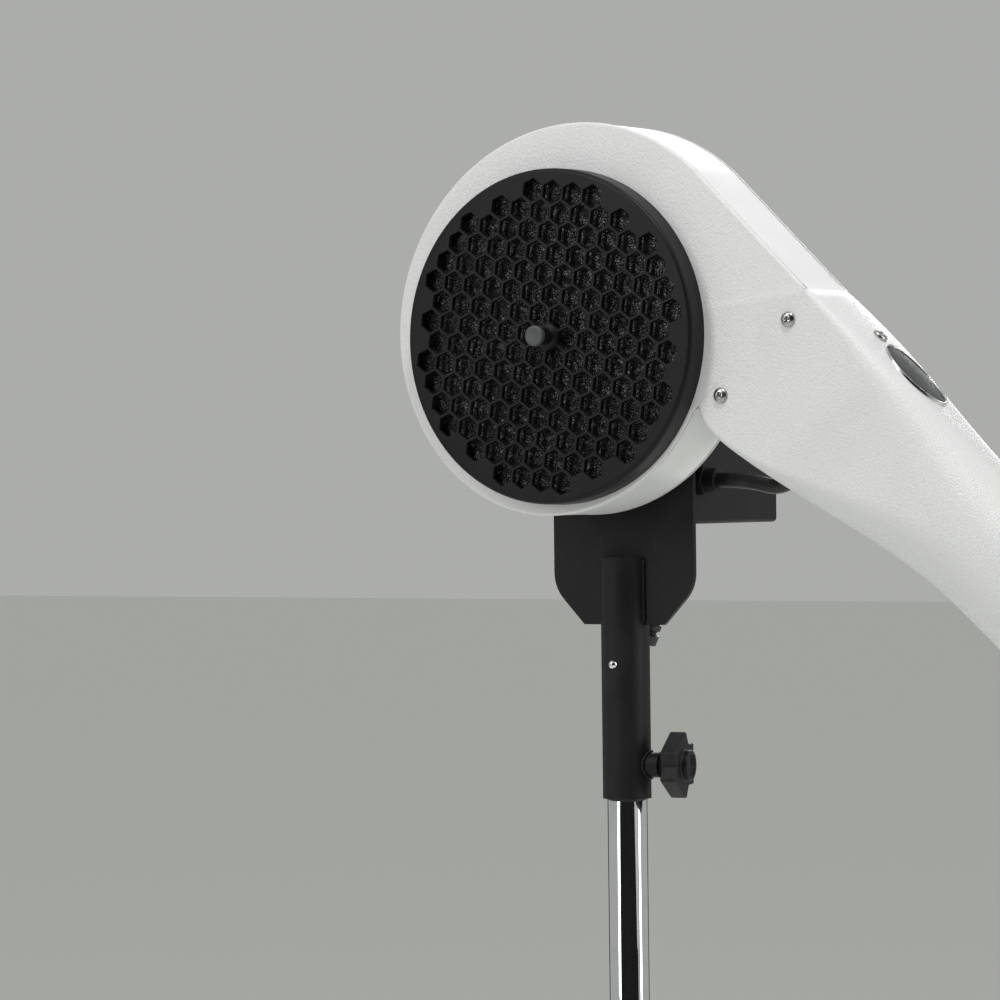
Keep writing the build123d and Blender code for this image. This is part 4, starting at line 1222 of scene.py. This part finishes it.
def sleeve_mesh():
    """Core with ribs: radius swells and falls along a smooth path."""
    along = np.linspace(0, 1, sleeve_steps + 1)
    stops = np.linspace(0, 1, len(sleeve_points))
    axes = [smooth_through(stops, [p[k] for p in sleeve_points]) for k in range(3)]
    centres = [Vector([axis(t) for axis in axes]) for t in along]
    loops = []
    for k, (t, centre) in enumerate(zip(along, centres)):
        ahead = centres[min(k + 1, sleeve_steps)] - centres[max(k - 1, 0)]
        ahead.normalize()
        across = Vector((0, 1, 0)).cross(ahead).normalized()
        other = ahead.cross(across)
        wave = 0.5 + 0.5 * math.cos(t * 2 * math.pi * sleeve_ribs)
        radius = 5.6 - 1.2 * t + 1.9 * min(1.0, wave * 1.7) if t < plain_end else 7.0
        loops.append([centre + (across * math.cos(a) + other * math.sin(a)) * radius * MM
                      for a in np.linspace(0, 2 * math.pi, 40, endpoint=False)])
    return ring_mesh("supply_sleeve", loops, closed=False)


sleeve = sleeve_mesh()
smooth_by_angle(sleeve, 50.0)
place_piece("supply_sleeve", sleeve, rubber, "head", "lead_black", "strain_relief")


# ---- Pole and column ----------------------------------------------------------------------------
# Bright chromed steel tubes, one inside the other. The pole slides in the column, which stands
# in the base's hub.
def tube_piece(node, name, body, radius, profile_edge, material, slot, inner):
    """Round tube made anew with many facets, between the CAD tube's ends."""
    low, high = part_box(node)
    tall = (high[2] - low[2]) / MM
    profile = [(radius - profile_edge, 0.0), (radius, profile_edge), (radius, tall - profile_edge),
               (radius - profile_edge, tall), (inner, tall), (inner, 0.0)]
    loops = lathe_loops(profile, Vector((0, 0, low[2])), Vector((0, 0, 1)), along_x, 128)
    mesh = ring_mesh(name, loops)
    smooth_by_angle(mesh, 50.0)
    return place_piece(name, mesh, material, body, slot, node)


tube_piece("pole", "mast_tube", "mast", 12.5, 0.5, chrome, "chrome", 11.0)
refined("column", "column_tube", "stand", "chrome", chrome, 0.4, degrees=40.0)


# ---- Base ---------------------------------------------------------------------------------------
# Cast hub with five steel legs, both in black powder coat. Each leg's end holds a caster: a black
# plastic fork that swivels, and a grey wheel on an axle in the fork.
refined("base_hub", "hub", "stand", "bracket_black", powder_black, 0.6)
for number in range(1, 6):
    refined(
        f"leg_{number}", f"leg_arm_{number}", "stand", "bracket_black", powder_black, 1.4,
        segments=3)
    refined(
        f"caster_fork_{number}", f"fork_{number}", f"caster_{number}", "knob_black", matt_black,
        0.6)
tread = finish(
    "tread_grey", (0.10, 0.10, 0.105), (0.16, 0.155, 0.15), 0.5, 0.7, grain=1200.0, depth=0.0001)
for number in range(1, 6):
    refined(
        f"caster_wheel_{number}", f"wheel_{number}", f"wheel_{number}", "tyre_grey", tread, 0.0,
        degrees=45.0)


# ---- Inner pieces -------------------------------------------------------------------------------
# Fan wheel, shaft, motor core, bearings, guards and sleeve keep their own shapes and are bare
# machined steel. The heater's boards are mica.
machined = finish(
    "machined_steel", (0.42, 0.42, 0.43), (0.3, 0.3, 0.3), 0.3, 0.45, metallic=1.0, patch=60.0)
board = finish(
    "mica_board", (0.30, 0.22, 0.12), (0.22, 0.16, 0.09), 0.5, 0.6, grain=700.0, depth=0.0001)
for node in (
        "mouth_sleeve", "outlet_guard", "inlet_spider", "impeller", "motor_shaft", "rotor_core",
        "stator", "bearings", "cooling_fan", "heater_element"):
    node_object = nodes[node]
    node_object.data.materials.clear()
    node_object.data.materials.append(board if node == "heater_element" else machined)
